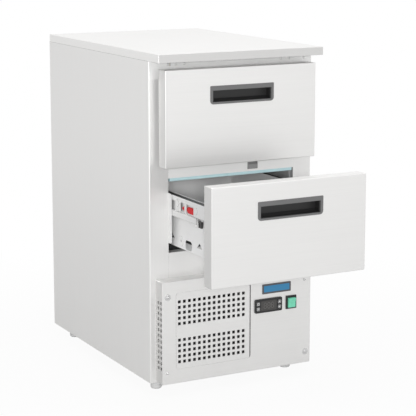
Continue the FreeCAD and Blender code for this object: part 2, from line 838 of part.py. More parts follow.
def make_drawer_box(label, y, z):
    """The open steel box of a drawer: vents and pressed rings in its sides, three openings in its floor."""
    inner_half = box_half - box_steel
    tools = [block((-inner_half, front_back + box_steel, box_lift + box_steel),
                   (inner_half, box_back - box_steel, box_top + 5))]
    floor_half = box_half - floor_edge
    floor_length = (box_back - front_back - 4 * floor_bar) / 3
    for index in range(3):
        start = front_back + floor_bar + index * (floor_length + floor_bar)
        tools.append(block((-floor_half, start, box_lift - 5),
                           (floor_half, start + floor_length, box_lift + 5)))
    walls = [block((-box_half, front_back, box_lift), (box_half, box_back, box_top))]
    for index in range(3):
        start = side_vents_start + index * side_vents_pitch
        tools.append(triangle_bar(start))
        tools.append(slot_bar(start + slot_shift))
        ring_y = start + ring_shift
        tools.append(rod(ring_bore, box_half * 2 + 20, (-box_half - 10, ring_y, side_vents_z), "x"))
        for side in (-1, 1):
            walls.append(stub(side, ring_radius, -box_steel / 2, ring_proud, ring_y, side_vents_z))
    node(label, cut(fuse(walls), tools), 0, y, z)


def triangle_bar(y):
    """A three-sided bar across the drawer, which cuts the same vent in both sides."""
    owner = body("triangle_bar")
    sketch = sketch_on(owner, "YZ")
    half = triangle_width / 2
    polygon(sketch, [(y - half, side_vents_z), (y + half, side_vents_z), (y, side_vents_z + triangle_height)])
    pad(owner, sketch, box_half * 2 + 20, both_ways=True)
    return owner


def slot_bar(y):
    """A rounded bar across the drawer, which cuts the same slot in both sides."""
    owner = body("slot_bar")
    sketch = sketch_on(owner, "YZ")
    centre_z = side_vents_z - 4
    rectangle(sketch, y - slot_length / 2, centre_z - slot_height / 2, y + slot_length / 2,
              centre_z + slot_height / 2)
    bar = pad(owner, sketch, box_half * 2 + 20, both_ways=True)
    round_off(owner, bar, edges_along(bar, "x"), slot_height / 3)
    return owner


def beside(side, near, far, low, high):
    """A block beside a drawer, between two distances from its side and two corners in side view."""
    ends = [side * (box_half + near), side * (box_half + far)]
    left, right = ends if side > 0 else ends[::-1]
    return block((left, low[0], low[1]), (right, high[0], high[1]))


def stub(side, radius, near, far, y, z):
    """A round stub beside a drawer, between two distances from its side."""
    start = box_half + near if side > 0 else -(box_half + far)
    return rod(radius, far - near, (start, y, z), "x")


# Slides: outlines across the slide, with s from the drawer's side outwards and z from the front's lower edge

slide_bottom = slide_top - slide_height
channel_bottom = slide_bottom + 2.2
channel_top = channel_bottom + 15
lip_outside = slide_thickness - slide_steel - slide_clearance
lip_inside = lip_outside - slide_steel
inner_gap = slide_clearance * 2 + middle_wall
rail_length = slide_end - slide_start


def extrusion(name, side, outline, start, length):
    """A rolled profile that runs along the drawer, on the left or the right."""
    owner = body(name)
    sketch = sketch_on(owner, "XZ", -start)
    polygon(sketch, [(side * (box_half + s), z) for s, z in outline])
    pad(owner, sketch, length, backwards=True)
    return owner


def fixed_rail_outline():
    """An upright channel whose outer wall reaches up to its fixings."""
    inner_leg = slide_clearance
    inner_face = inner_leg + middle_wall
    outer_face = slide_thickness
    wall_inside = outer_face - slide_steel
    foot = slide_bottom + slide_steel
    leg_top = slide_bottom + 9
    return [(inner_leg, slide_bottom), (outer_face, slide_bottom), (outer_face, slide_top),
            (wall_inside, slide_top), (wall_inside, foot), (inner_face, foot), (inner_face, leg_top),
            (inner_leg, leg_top)]


def middle_rail_outline():
    """A channel below and a channel above, back to back on one web."""
    neck_top = slide_top - rail_lip
    tip = slide_top - slide_steel - 1
    left, right = inner_gap, lip_outside
    web_left = inner_gap + 4
    web_right = web_left + middle_wall
    top_left, top_right = web_left - 3.2, web_right + 2.2
    wall = middle_wall
    return [(left, channel_bottom), (left + wall, channel_bottom), (left + wall, channel_top - wall),
            (right - wall, channel_top - wall), (right - wall, channel_bottom), (right, channel_bottom),
            (right, channel_top), (web_right, channel_top), (web_right, neck_top), (top_right, neck_top),
            (top_right, tip), (top_right - wall, tip), (top_right - wall, neck_top + wall),
            (top_left + wall, neck_top + wall), (top_left + wall, tip), (top_left, tip), (top_left, neck_top),
            (web_left, neck_top), (web_left, channel_top), (left, channel_top)]


def drawer_rail_outline():
    """An inverted channel screwed to the drawer's side, with a short outer lip."""
    web_bottom = slide_bottom + 19
    under_top = slide_top - slide_steel
    lip_bottom = slide_top - rail_lip
    return [(0, web_bottom), (slide_steel, web_bottom), (slide_steel, under_top), (lip_inside, under_top),
            (lip_inside, lip_bottom), (lip_outside, lip_bottom), (lip_outside, slide_top), (0, slide_top)]


def make_fixed_rails():
    """The four rails on the cabinet's uprights, cut short at the front below for the middle rails' ends."""
    rails = []
    floor_start = slide_start + middle_setback + end_setback + end_nose + 5
    for level in (0, front_pitch):
        for side in (-1, 1):
            rail = extrusion("fixed_rail", side, fixed_rail_outline(), slide_start, rail_length)
            room = beside(side, -1, slide_thickness - slide_steel, (slide_start - 5, slide_bottom - 5),
                          (floor_start, slide_top + 5))
            rails.append(place(cut(rail, [room]), 0, 0, first_front + level))
    node("fixed_rails", group(rails), 0, front_plane, 0)


def make_middle_rails(label, y, z):
    """A left and a right middle rail that move together."""
    start = slide_start + middle_setback
    length = slide_end - middle_setback - start
    rails = [extrusion(label, side, middle_rail_outline(), start, length) for side in (-1, 1)]
    node(label, group(rails), 0, y, z)


def make_slide_ends(label, y, z):
    """The moulded end of each middle rail: a round nose under it and a two-pronged stop in front of it."""
    ends = []
    rail_front = slide_start + middle_setback
    nose_y = rail_front + end_setback
    nose_drop = 2.9
    nose_z = channel_bottom - nose_drop
    prong_drop = 2.7
    gap_inside = 0.2
    gap_outside = 0.4
    gap_above = 1.4
    near = inner_gap + middle_wall + gap_inside
    far = lip_outside - middle_wall - gap_outside
    bar_low = channel_bottom + 2 * end_prong
    bar_high = bar_low + end_prong
    stop = -end_reach
    for side in (-1, 1):
        holder = beside(side, near, far, (nose_y - end_nose, nose_z),
                        (nose_y + end_nose, channel_top - gap_above))
        nose = stub(side, end_nose, near, far, nose_y, nose_z)
        bar = beside(side, near, far, (stop, bar_low), (nose_y, bar_high))
        prongs = [beside(side, near, far, (start, nose_z - prong_drop), (start + end_prong, bar_high))
                  for start in (stop, stop + 3 * end_prong)]
        ends.append(fuse([holder, nose, bar] + prongs))
    node(label, group(ends), 0, y, z)


lever_z = slide_bottom + 29
lever_inside = lip_inside - lever_thickness - 0.2
pivot_y = lever_front + lever_head_length + 6.5


def make_drawer_rails(label, y, z):
    """The rails on a drawer's sides, with a deep plate at their front, cut away round the release lever."""
    rails = []
    start = front_back + 2
    lip_bottom = slide_top - rail_lip
    for side in (-1, 1):
        rail = extrusion("drawer_rail", side, drawer_rail_outline(), start, slide_end - start)
        plate = beside(side, lip_inside, lip_outside, (start, channel_top + 1.3),
                       (lever_plate_end, lip_bottom))
        window = beside(side, lip_inside - 1, lip_outside + 1, (lever_front - 2, channel_top),
                        (lever_front + lever_length + 3, lip_bottom + 0.5))
        tab = beside(side, lip_inside, lip_outside, (pivot_y - lever_tab / 2, channel_top + 2),
                     (pivot_y + lever_tab / 2, lip_bottom + 1))
        pin = stub(side, pin_radius, lever_inside, lip_inside + 0.5, pivot_y, lever_z)
        marks = [stub(side, emboss_radius, lip_inside + 0.5, lip_outside + emboss_proud, mark_y, mark_z)
                 for mark_y, mark_z in emboss_places()]
        rails.append(fuse([cut(fuse([rail, plate]), [window]), tab, pin] + marks))
    node(label, group(rails), 0, y, z)


def emboss_places():
    """Two pressed rounds in the lever's plate, one ahead of the lever and one behind it."""
    return [(lever_front - emboss_radius - 4, slide_bottom + 33.5),
            (lever_plate_end - emboss_radius, slide_bottom + 37)]


def make_lever(label, side, y, z):
    """A red release lever on a drawer rail: a faceted head, a neck on its pivot and an arrow tip behind."""
    owner = body(label)
    sketch = sketch_on(owner, "YZ", side * (box_half + lever_inside))
    front = lever_front
    back = front + lever_length
    head_end = front + lever_head_length
    head = lever_head / 2
    facet = head / 2
    neck = lever_neck / 2
    barb = back - lever_tip
    above = [(front, facet), (front + facet, head), (head_end - facet, head), (head_end, neck), (barb, neck),
             (barb, lever_tip / 2), (back, 0)]
    corners = [(step, lever_z + rise) for step, rise in above]
    corners += [(step, lever_z - rise) for step, rise in reversed(above[:-1])]
    polygon(sketch, corners)
    pad(owner, sketch, lever_thickness, backwards=(side < 0))
    grip = sketch_on(owner, "YZ", side * (box_half + lever_inside))
    raised = [(front + 2, facet - 1), (front + facet, head - 2), (head_end - facet - 2, head - 2),
              (head_end - 4, facet - 1)]
    grip_corners = [(step, lever_z + rise) for step, rise in raised]
    grip_corners += [(step, lever_z - rise) for step, rise in reversed(raised)]
    polygon(grip, grip_corners)
    pad(owner, grip, lip_outside - lever_inside - 0.2, backwards=(side < 0))
    bore = sketch_on(owner, "YZ", side * (box_half + lever_inside - 1))
    circle(bore, pivot_y, lever_z, pin_radius + pin_clearance)
    pocket(owner, bore, lever_thickness + 3, backwards=(side > 0))
    node(label, owner, 0, y, z)


def make_guides():
    """The white plates at the front of the fixed rails, which steer the drawers in."""
    guides = []
    for level in (0, front_pitch):
        for side in (-1, 1):
            owner = body("guide")
            sketch = sketch_on(owner, "YZ", side * opening_half)
            rectangle(sketch, front_back + 1, slide_top - guide_length, slide_start, slide_top)
            plate = pad(owner, sketch, slide_steel, backwards=(side > 0))
            front_edges = edges_along(plate, "x", lambda p: p.y < front_back.value + 2)
            round_off(owner, plate, front_edges, 6)
            guides.append(place(owner, 0, 0, first_front + level))
    node("slide_front_guides", group(guides), 0, front_plane, 0)


def make_uprights():
    """The slotted posts inside the lining that the fixed rails hang on."""
    posts = []
    for side in (-1, 1):
        for start in (20, slide_end - 60):
            owner = body("upright")
            sketch = sketch_on(owner, "XY", cavity_bottom + liner_sheet + 6)
            wall_face = side * (opening_half + upright_depth)
            room_face = side * opening_half
            skin = side * 1.2
            polygon(sketch, [(wall_face, start), (room_face, start), (room_face, start + upright_width),
                             (wall_face, start + upright_width), (wall_face, start + upright_width - 1.2),
                             (room_face + skin, start + upright_width - 1.2), (room_face + skin, start + 1.2),
                             (wall_face, start + 1.2)])
            pad(owner, sketch, cavity_top - cavity_bottom - 2 * liner_sheet - 12)
            posts.append(owner)
    node("slide_uprights", group(posts), 0, front_plane, 0)


# Service cover and its fittings: y from the cabinet's front, z from the floor

vent_top = cover_top - grille_top - vents_drop
vent_left = grille_left + 9.5 - half_width + cover_margin
grille_low_x = grille_left + cover_margin - half_width
grille_high_x = grille_low_x + grille_width
grille_high_z = cover_top - grille_top
grille_low_z = grille_high_z - grille_height


def make_service_cover():
    """The steel tray over the machinery, cut out for the grille and the controls and vented at its sides."""
    owner = body("service_cover")
    folded_tray(owner, (-cover_half, cover_bottom), (cover_half, cover_top), cover_face, 0, cover_bend, steel)
    grille_window = sketch_on(owner, "XZ", cover_proud)
    rectangle(grille_window, grille_low_x, grille_low_z, grille_high_x, grille_high_z)
    opened = pocket(owner, grille_window, steel * 2)

    def window_corner(p):
        across = min(abs(p.x - grille_low_x.value), abs(p.x - grille_high_x.value))
        return across < 1e-4 and p.y < cover_face.value + steel.value + 1e-4

    round_off(owner, opened, edges_along(opened, "y", window_corner), grille_corner)
    window = sketch_on(owner, "XZ", cover_proud)
    body_half = bezel_width / 2 - 3
    body_rise = bezel_height / 2 - 3
    left, right = thermostat_x - body_half, thermostat_x + body_half
    rectangle(window, left, controls_z - body_rise, right, controls_z + body_rise)
    rectangle(window, switch_x - 12, controls_z - 14, switch_x + 12, controls_z + 14)
    for x, z, radius in screw_places():
        circle(window, x, z, screw_shank + 0.2)
    pocket(owner, window, steel * 2)
    vent = sketch_on(owner, "YZ", -cover_half - 5)
    first_y = cover_face + 6.4
    half = vent_hole / 2
    for column in range(2):
        y = first_y + column * vent_pitch
        rectangle(vent, y - half, vent_top - half, y + half, vent_top + half)
    first = pocket(owner, vent, cover_half * 2 + 10, backwards=True)
    pattern = owner.newObject("PartDesign::LinearPattern", "side_vents")
    pattern.Originals = [first]
    pattern.Direction = (vent, ["V_Axis"])
    pattern.Reversed = True
    bind(pattern, "Length", vent_pitch * 12)
    pattern.Occurrences = 13
    owner.Tip = pattern
    document.recompute()
    node("service_cover", owner, 0, front_plane, 0)


def screw_places():
    """Across, up and head radius of each screw in the cover."""
    side = half_width - 31
    low = cover_bottom + 29
    high = cover_top - 39
    return [(-side, high, 6.5), (-side - 2, low, 5.5), (side, low, 6.5), (side - 4, high, 3.2)]


def make_cover_screws():
    """Domed screws that hold the cover on."""
    screws = []
    for x, z, radius in screw_places():
        head = rod(radius, 3.2, (x, cover_face - 3.2, z), "y")
        dome = rounded(head, round_edge_at("y", cover_face - 3.2), radius * 0.34)
        shank = rod(screw_shank, 10, (x, cover_face, z), "y")
        screws.append(fuse([dome, shank]))
    node("cover_screws", group(screws), 0, front_plane, 0)


def make_grille():
    """The perforated panel before the condenser: flush with the cover, with a wide gap along its right."""
    owner = body("condenser_grille")
    face = sketch_on(owner, "XZ", cover_proud)
    seam = grille_seam
    right = grille_high_x - grille_slot
    rectangle(face, grille_low_x + seam, grille_low_z + seam, right, grille_high_z - seam)
    leaf = pad(owner, face, steel, backwards=True)
    round_off(owner, leaf, edges_along(leaf, "y"), grille_corner - seam)
    rim = sketch_on(owner, "XZ", cover_proud - steel)
    border = grille_border
    rectangle(rim, grille_low_x - border, grille_low_z - border, right, grille_high_z + border)
    pad(owner, rim, steel, backwards=True)
    for top in (vent_top, vent_top - vent_pitch * (vent_rows - 1) - block_gap):
        hole = sketch_on(owner, "XZ", cover_proud)
        half = vent_hole / 2
        rectangle(hole, vent_left - half, top - half, vent_left + half, top + half)
        first = pocket(owner, hole, steel * 3)
        grid(owner, first, hole, vent_pitch, vent_columns, vent_rows)
    node("condenser_grille", owner, 0, front_plane, 0)


def make_badge_plate():
    """A plain plate above the controls."""
    owner = body("badge_plate")
    sketch = sketch_on(owner, "XZ", cover_proud)
    rectangle(sketch, thermostat_x - 17, controls_z + 29, thermostat_x + 65, controls_z + 54)
    plate = pad(owner, sketch, 1.2)
    round_off(owner, plate, edges_along(plate, "y"), 1.5)
    node("badge_plate", owner, 0, front_plane, 0)


def key_places():
    """Centres of the four keys: two above each other at each end of the display."""
    across = bezel_width / 2 - 8.5
    return [(thermostat_x + end * across, controls_z + level * 6.5) for end in (-1, 1) for level in (1, -1)]


def make_thermostat():
    """The controller: a bezel with a display window and four keys, and its case behind the cover."""
    owner = body("thermostat_housing")
    sketch = sketch_on(owner, "XZ", cover_proud)
    half = bezel_width / 2
    rise = bezel_height / 2
    rectangle(sketch, thermostat_x - half, controls_z - rise, thermostat_x + half, controls_z + rise)
    plate = pad(owner, sketch, bezel_proud)
    cornered = round_off(owner, plate, edges_along(plate, "y"), 4)
    round_off(owner, cornered, edges_at(cornered, "y", cover_face - bezel_proud), 1.2)
    case = sketch_on(owner, "XZ", cover_proud)
    inside = 3.3
    rectangle(case, thermostat_x - half + inside, controls_z - rise + inside, thermostat_x + half - inside,
              controls_z + rise - inside)
    pad(owner, case, 58, backwards=True)
    recess = sketch_on(owner, "XZ", cover_proud + bezel_proud)
    window_half = half - 16
    window_rise = rise - 5
    rectangle(recess, thermostat_x - window_half, controls_z - window_rise, thermostat_x + window_half,
              controls_z + window_rise)
    pocket(owner, recess, 1.5)
    wells = sketch_on(owner, "XZ", cover_proud + bezel_proud)
    room = key_side / 2 + key_clearance
    for x, z in key_places():
        rectangle(wells, x - room, z - room, x + room, z + room)
    pocket(owner, wells, 3.4)
    node("thermostat_housing", owner, 0, front_plane, 0)
    window = body("thermostat_window")
    pane = sketch_on(window, "XZ", cover_proud + bezel_proud - 1.5)
    gap = 0.2
    rectangle(pane, thermostat_x - window_half + gap, controls_z - window_rise + gap,
              thermostat_x + window_half - gap, controls_z + window_rise - gap)
    pad(window, pane, 1.5)
    node("thermostat_window", window, 0, front_plane, 0)
    names = ("key_upper_left", "key_lower_left", "key_upper_right", "key_lower_right")
    for label, (x, z) in zip(names, key_places()):
        key = body(label)
        cap = sketch_on(key, "XZ", cover_proud + bezel_proud + 0.7)
        side = key_side / 2
        rectangle(cap, x - side, z - side, x + side, z + side)
        button = pad(key, cap, 3, backwards=True)
        round_off(key, button, edges_along(button, "y"), 1.5)
        node(label, key, 0, front_plane, 0)


def make_switch():
    """The power switch: a bezel with its case, and a rocker that tips on a pin."""
    owner = body("switch_housing")
    sketch = sketch_on(owner, "XZ", cover_proud)
    half = switch_width / 2
    rise = switch_height / 2
    rectangle(sketch, switch_x - half, controls_z - rise, switch_x + half, controls_z + rise)
    plate = pad(owner, sketch, 3)
    round_off(owner, plate, edges_along(plate, "y") + edges_at(plate, "y", cover_face - 3), 1)
    case = sketch_on(owner, "XZ", cover_proud)
    rectangle(case, switch_x - 11.7, controls_z - 13.7, switch_x + 11.7, controls_z + 13.7)
    pad(owner, case, 24, backwards=True)
    well = sketch_on(owner, "XZ", cover_proud + 3)
    rectangle(well, switch_x - 10.3, controls_z - 13, switch_x + 10.3, controls_z + 13)
    pocket(owner, well, 18)
    node("switch_housing", owner, 0, front_plane, 0)
    rocker = body("switch_rocker")
    side_view = sketch_on(rocker, "YZ")
    polygon(side_view, [(-8.5, -12), (-6.6, 0), (-8.5, 12), (0, 11.4), (4, 4), (4, -4), (0, -11.4)])
    tip = pad(rocker, side_view, 20, both_ways=True)
    round_off(rocker, tip, edges_along(tip, "x", lambda p: p.y < -8), 0.8)
    rocker.Placement = FreeCAD.Placement(V(), FreeCAD.Rotation(V(1, 0, 0), number(rocker_tilt)))
    node("switch_rocker", rocker, switch_x, front_plane + cover_face, controls_z)


# Machinery under the deck

condenser_x = cover_margin + grille_left + 99.5 - half_width
condenser_back = condenser_front + condenser_thickness
machine_floor = foot_height + base_steel


def make_finned_coil(label, x, y, z, wide, high, deep, fins, tube):
    """Fins on a spine with tube bends showing at both ends."""
    pitch = wide / fins
    outline = [(0, 0)]
    for index in range(fins):
        start = pitch * index
        foot = fin_spine if index < fins - 1 else 0
        outline += [(start, deep), (start + fin, deep), (start + fin, foot)]
        if index < fins - 1:
            outline.append((start + pitch, fin_spine))
    owner = body(label)
    sketch = sketch_on(owner, "XY")
    polygon(sketch, outline)
    pad(owner, sketch, high)
    bends = []
    rows = int(number(high) // 40)
    last_fin = pitch * (fins - 1) + fin
    for row in range(rows):
        level = high / rows * (row + 0.5)
        for end, turn in ((0, 180), (last_fin, 0)):
            elbow = document.addObject("Part::Torus", "elbow")
            bind(elbow, "Radius1", elbow_radius)
            bind(elbow, "Radius2", tube)
            elbow.Angle3 = 180
            spin = FreeCAD.Rotation(V(0, 0, 1), turn)
            elbow.Placement = FreeCAD.Placement(V(), spin.multiply(FreeCAD.Rotation(V(1, 0, 0), 90)).multiply(
                FreeCAD.Rotation(V(0, 0, 1), -90)))
            bends.append(place(elbow, end, deep / 2, level))
    node(label, fuse([owner] + bends), x - wide / 2, y, z)


def make_fan_mount():
    """The plate behind the condenser with the fan's ring, its struts and its motor."""
    plate_y = condenser_back + 1
    centre = (condenser_x, machine_floor + condenser_height / 2 + 4)
    low = (condenser_x - condenser_width / 2, plate_y, machine_floor)
    high = (condenser_x + condenser_width / 2, plate_y + 1.5, machine_floor + condenser_height + 8)
    ring = rod(fan_radius + fan_clearance + 2, 26, (centre[0], plate_y, centre[1]), "y")
    bore = rod(fan_radius + fan_clearance, 60, (centre[0], plate_y - 10, centre[1]), "y")
    frame = cut(fuse([block(low, high), ring]), [bore])
    reach = fan_radius + fan_clearance + 6.6
    strut_y = plate_y + 30
    upright = block((centre[0] - 4, strut_y, machine_floor), (centre[0] + 4, strut_y + 3, centre[1] + reach))
    level = block((centre[0] - reach, strut_y, centre[1] - 4),
                  (centre[0] + reach, strut_y + 3, centre[1] + 4))
    ends = []
    for turn in range(4):
        across = (1, 0, -1, 0)[turn] * (reach - 3)
        rise = (0, 1, 0, -1)[turn] * (reach - 3)
        start = (centre[0] + across - 3, plate_y + 20, centre[1] + rise - 3)
        ends.append(block(start, (start[0] + 6, strut_y + 3, start[2] + 6)))
    motor = rod(28, 44, (centre[0], strut_y, centre[1]), "y")
    node("condenser_fan_mount", fuse([frame, upright, level, motor] + ends), 0, front_plane, 0)


def fan_shape(radius, hub_radius, depth, blades, pitch_angle):
    """A hub with twisted blades, along +Y from the origin."""
    hub = Part.makeCylinder(hub_radius, depth, V(), V(0, 1, 0))
    solids = [hub]
    for index in range(blades):
        sections = []
        for reach, twist in ((hub_radius - 2, pitch_angle), ((hub_radius + radius) / 2, pitch_angle * 0.8),
                             (radius, pitch_angle * 0.6)):
            half_chord = 0.42 * reach + 5
            lean = math.radians(twist)
            run = V(0, math.sin(lean), math.cos(lean)) * half_chord
            thick = V(0, math.cos(lean), -math.sin(lean)) * 0.8
            middle = V(reach, depth / 2, 0)
            corners = [middle - run - thick, middle + run - thick, middle + run + thick, middle - run + thick]
            sections.append(Part.makePolygon(corners + corners[:1]))
        blade = Part.makeLoft(sections, True, True)
        blade = blade.common(Part.makeCylinder(radius, depth, V(), V(0, 1, 0)))
        blade.rotate(V(), V(0, 1, 0), 360 / blades * index)
        solids.append(blade)
    joined = solids[0].fuse(solids[1:])
    return joined.removeSplitter()


def make_condenser_fan():
    shape = fan_shape(number(fan_radius), 26, 24, 5, 28)
    item = shaped("condenser_fan_blade", shape)
    node("condenser_fan_blade", item, condenser_x, front_plane + condenser_back + 4,
         machine_floor + condenser_height / 2 + 4)


def make_compressor():
    """A welded shell on a foot plate, with rubber mounts and a terminal box."""
    y = cabinet_depth - compressor_from_back
    mount = compressor_mount
    shell_z = machine_floor + mount + 6
    shell = rod(compressor_radius, compressor_height, (compressor_x, y, shell_z))
    top = shell_z + compressor_height
    domed = rounded(shell, lambda e: is_curve(e, "Part::GeomCircle"), compressor_radius * 0.42)
    seam = rod(compressor_radius + 2.5, 5, (compressor_x, y, shell_z + compressor_height * 0.55))
    reach = compressor_radius + 12
    foot = block((compressor_x - reach, y - 50, shell_z - 3), (compressor_x + reach, y + 50, shell_z))
    seat = rod(compressor_radius * 0.6, 6, (compressor_x, y, shell_z - 3))
    terminals = block((compressor_x + compressor_radius - 14, y - 26, shell_z + 46),
                      (compressor_x + compressor_radius + 24, y + 26, shell_z + 104))
    rubbers = [rod(9, mount + 3, (compressor_x + across * (reach - 12), y + along * 38, machine_floor))
               for across in (-1, 1) for along in (-1, 1)]
    stub = rod(pipe_radius + 1.5, 22, (compressor_x - 20, y, top - 8))
    node("compressor", fuse([domed, seam, foot, seat, terminals, stub] + rubbers), 0, front_plane, 0)


def bent_pipe(points, radius, bend_radius):
    """A round pipe along straight runs joined by tangent arcs."""
    edges = []
    start = points[0]
    for index in range(1, len(points) - 1):
        corner = points[index]
        back = (points[index - 1] - corner).normalize()
        ahead = (points[index + 1] - corner).normalize()
        turn = math.pi - back.getAngle(ahead)
        setback = bend_radius * math.tan(turn / 2)
        arc_start = corner + back * setback
        arc_end = corner + ahead * setback
        inward = (back + ahead).normalize()
        middle = corner + inward * (bend_radius / math.cos(turn / 2) - bend_radius)
        edges.append(Part.LineSegment(start, arc_start).toShape())
        edges.append(Part.Arc(arc_start, middle, arc_end).toShape())
        start = arc_end
    edges.append(Part.LineSegment(start, points[-1]).toShape())
    path = Part.Wire(edges)
    heading = (points[1] - points[0]).normalize()
    profile = Part.Wire(Part.makeCircle(radius, points[0], heading))
    return path.makePipeShell([profile], True, False)


def make_pipes():
    """The gas pipes between the compressor, the condenser and the cold side, with the filter drier."""
    y = number(cabinet_depth - compressor_from_back)
    x = number(compressor_x)
    top = number(machine_floor + compressor_mount + 6 + compressor_height) + 14
    left = number(condenser_x)
    radius = number(pipe_radius)
    behind = number(condenser_back) + 105
    low = number(machine_floor) + 30
    deck = number(deck_bottom)
    discharge = bent_pipe([V(x - 20, y, top), V(x - 20, y, deck - 26), V(x - 20, behind + 60, deck - 26),
                           V(left - 70, behind + 60, deck - 26), V(left - 70, behind + 60, low + 60)],
                          radius, 12)
    suction = bent_pipe([V(left - 40, behind + 80, low), V(left - 40, behind + 160, low),
                         V(left - 40, behind + 160, deck - 4)], radius, 12)
    drier = Part.makeCylinder(9, 96, V(left - 40, behind - 16, low), V(0, 1, 0))
    drier = drier.makeFillet(5, [edge for edge in drier.Edges if is_curve(edge, "Part::GeomCircle")])
    liquid = bent_pipe([V(left - 70, behind + 60, low + 60), V(left - 70, behind + 60, low),
                        V(left - 70, behind - 40, low), V(left - 40, behind - 40, low),
                        V(left - 40, behind - 16, low)], radius, 10)
    shape = Part.makeCompound([discharge.fuse([liquid, drier, suction])])
    node("refrigerant_pipes", shaped("refrigerant_pipes", shape), 0, front_plane, 0)


# Cold side

cold_front = cabinet_depth - back_wall - cooling_zone
cold_back = cabinet_depth - back_wall
cold_low = cavity_bottom + 40
cold_high = cavity_top - 24
cold_half = liner_half - 30


def make_evaporator_cover():
    """The sheet that ducts cold air over the coil, with the fan's guard in it and return slots below."""
    owner = body("evaporator_cover")
    sketch = sketch_on(owner, "XZ", -cold_front)
    rectangle(sketch, -cold_half, cold_low, cold_half, cold_high)
    slab = pad(owner, sketch, cooling_zone, backwards=True)
    bent = round_off(owner, slab, edges_along(slab, "y"), 5)
    hollow(owner, bent, faces_at(bent, "Y", cold_back), steel)
    slots = sketch_on(owner, "XZ", -cold_front)
    for index in range(6):
        level = cold_low + 16 + index * 12
        rectangle(slots, -(cold_half - 24), level, cold_half - 24, level + 5)
    pocket(owner, slots, steel * 2)
    guard = sketch_on(owner, "XZ", -cold_front)
    circle(guard, 0, cold_high - 60, cold_fan_radius + 3)
    pocket(owner, guard, steel * 2)
    cross = [block((-3, cold_front, cold_high - 64 - cold_fan_radius),
                   (3, cold_front + steel, cold_high - 56 + cold_fan_radius)),
             block((-4 - cold_fan_radius, cold_front, cold_high - 63),
                   (4 + cold_fan_radius, cold_front + steel, cold_high - 57))]
    hub = rod(17, 3, (0, cold_front, cold_high - 60), "y")
    motor = rod(14, 12, (0, cold_front + 24, cold_high - 60), "y")
    bracket = block((-cold_half + 0.5, cold_front + 30, cold_high - 66),
                    (cold_half - 0.5, cold_front + 33, cold_high - 54))
    node("evaporator_cover", fuse([owner, hub, motor, bracket] + cross), 0, front_plane, 0)


def make_evaporator_fan():
    shape = fan_shape(number(cold_fan_radius), 12, 16, 5, 28)
    item = shaped("evaporator_fan_blade", shape)
    node("evaporator_fan_blade", item, 0, front_plane + cold_front + 5, cold_high - 60)


def make_all():
    make_worktop()
    make_side_panel("left_side_panel", -1)
    make_side_panel("right_side_panel", 1)
    make_back_panel()
    make_cord_gland()
    make_top_rail()
    make_cross_rail()
    make_rail_catch()
    make_cross_rail_strip()
    make_cabinet_deck()
    make_insulation()
    make_inner_liner()
    make_base_tray()
    make_feet()
    make_fixed_rails()
    make_guides()
    make_uprights()
    make_service_cover()
    make_cover_screws()
    make_grille()
    make_badge_plate()
    make_thermostat()
    make_switch()
    make_finned_coil("condenser_coil", condenser_x, front_plane + condenser_front, machine_floor,
                     condenser_width, condenser_height, condenser_thickness, 20, 4)
    make_fan_mount()
    make_condenser_fan()
    make_compressor()
    make_pipes()
    make_finned_coil("evaporator_coil", 0, front_plane + cold_front + 8, cold_low + 10, cold_half * 2 - 50,
                     cold_high - cold_low - 140, cooling_zone - 12, 18, 3)
    make_evaporator_cover()
    make_evaporator_fan()
    for level, name, shift in ((0, "lower", drawer_open), (front_pitch, "upper", 0)):
        y = front_plane - shift
        part_way = front_plane - shift * middle_share
        z = first_front + level
        make_front_skin(name + "_front_skin", y, z)
        make_front_core(name + "_front_core", y, z)
        make_gasket(name + "_gasket", y, z)
        make_handle(name + "_handle", y, z)
        make_drawer_box(name + "_drawer_box", y, z)
        make_drawer_rails(name + "_drawer_rails", y, z)
        make_middle_rails(name + "_middle_rails", part_way, z)
        make_slide_ends(name + "_slide_ends", part_way, z)
        make_lever(name + "_left_lever", -1, y, z)
        make_lever(name + "_right_lever", 1, y, z)


def check_and_export():
    """Every feature must have computed and every sub-part must be sound before any file is written."""
    document.recompute()
    for item in document.Objects:
        if "Invalid" in item.State or "Error" in item.State:
            raise RuntimeError("%s (%s) failed" % (item.Name, item.Label))
    for item in nodes:
        if item.Shape.isNull() or not item.Shape.isValid():
            raise RuntimeError(item.Label + " has no sound shape")
    os.makedirs("parts", exist_ok=True)
    for item in nodes:
        item.Shape.exportStep("parts/%s.step" % item.Label)
    print("%d nodes, %d solids" % (len(nodes), sum(len(item.Shape.Solids) for item in nodes)))


make_all()
check_and_export()
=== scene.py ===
import json
import math

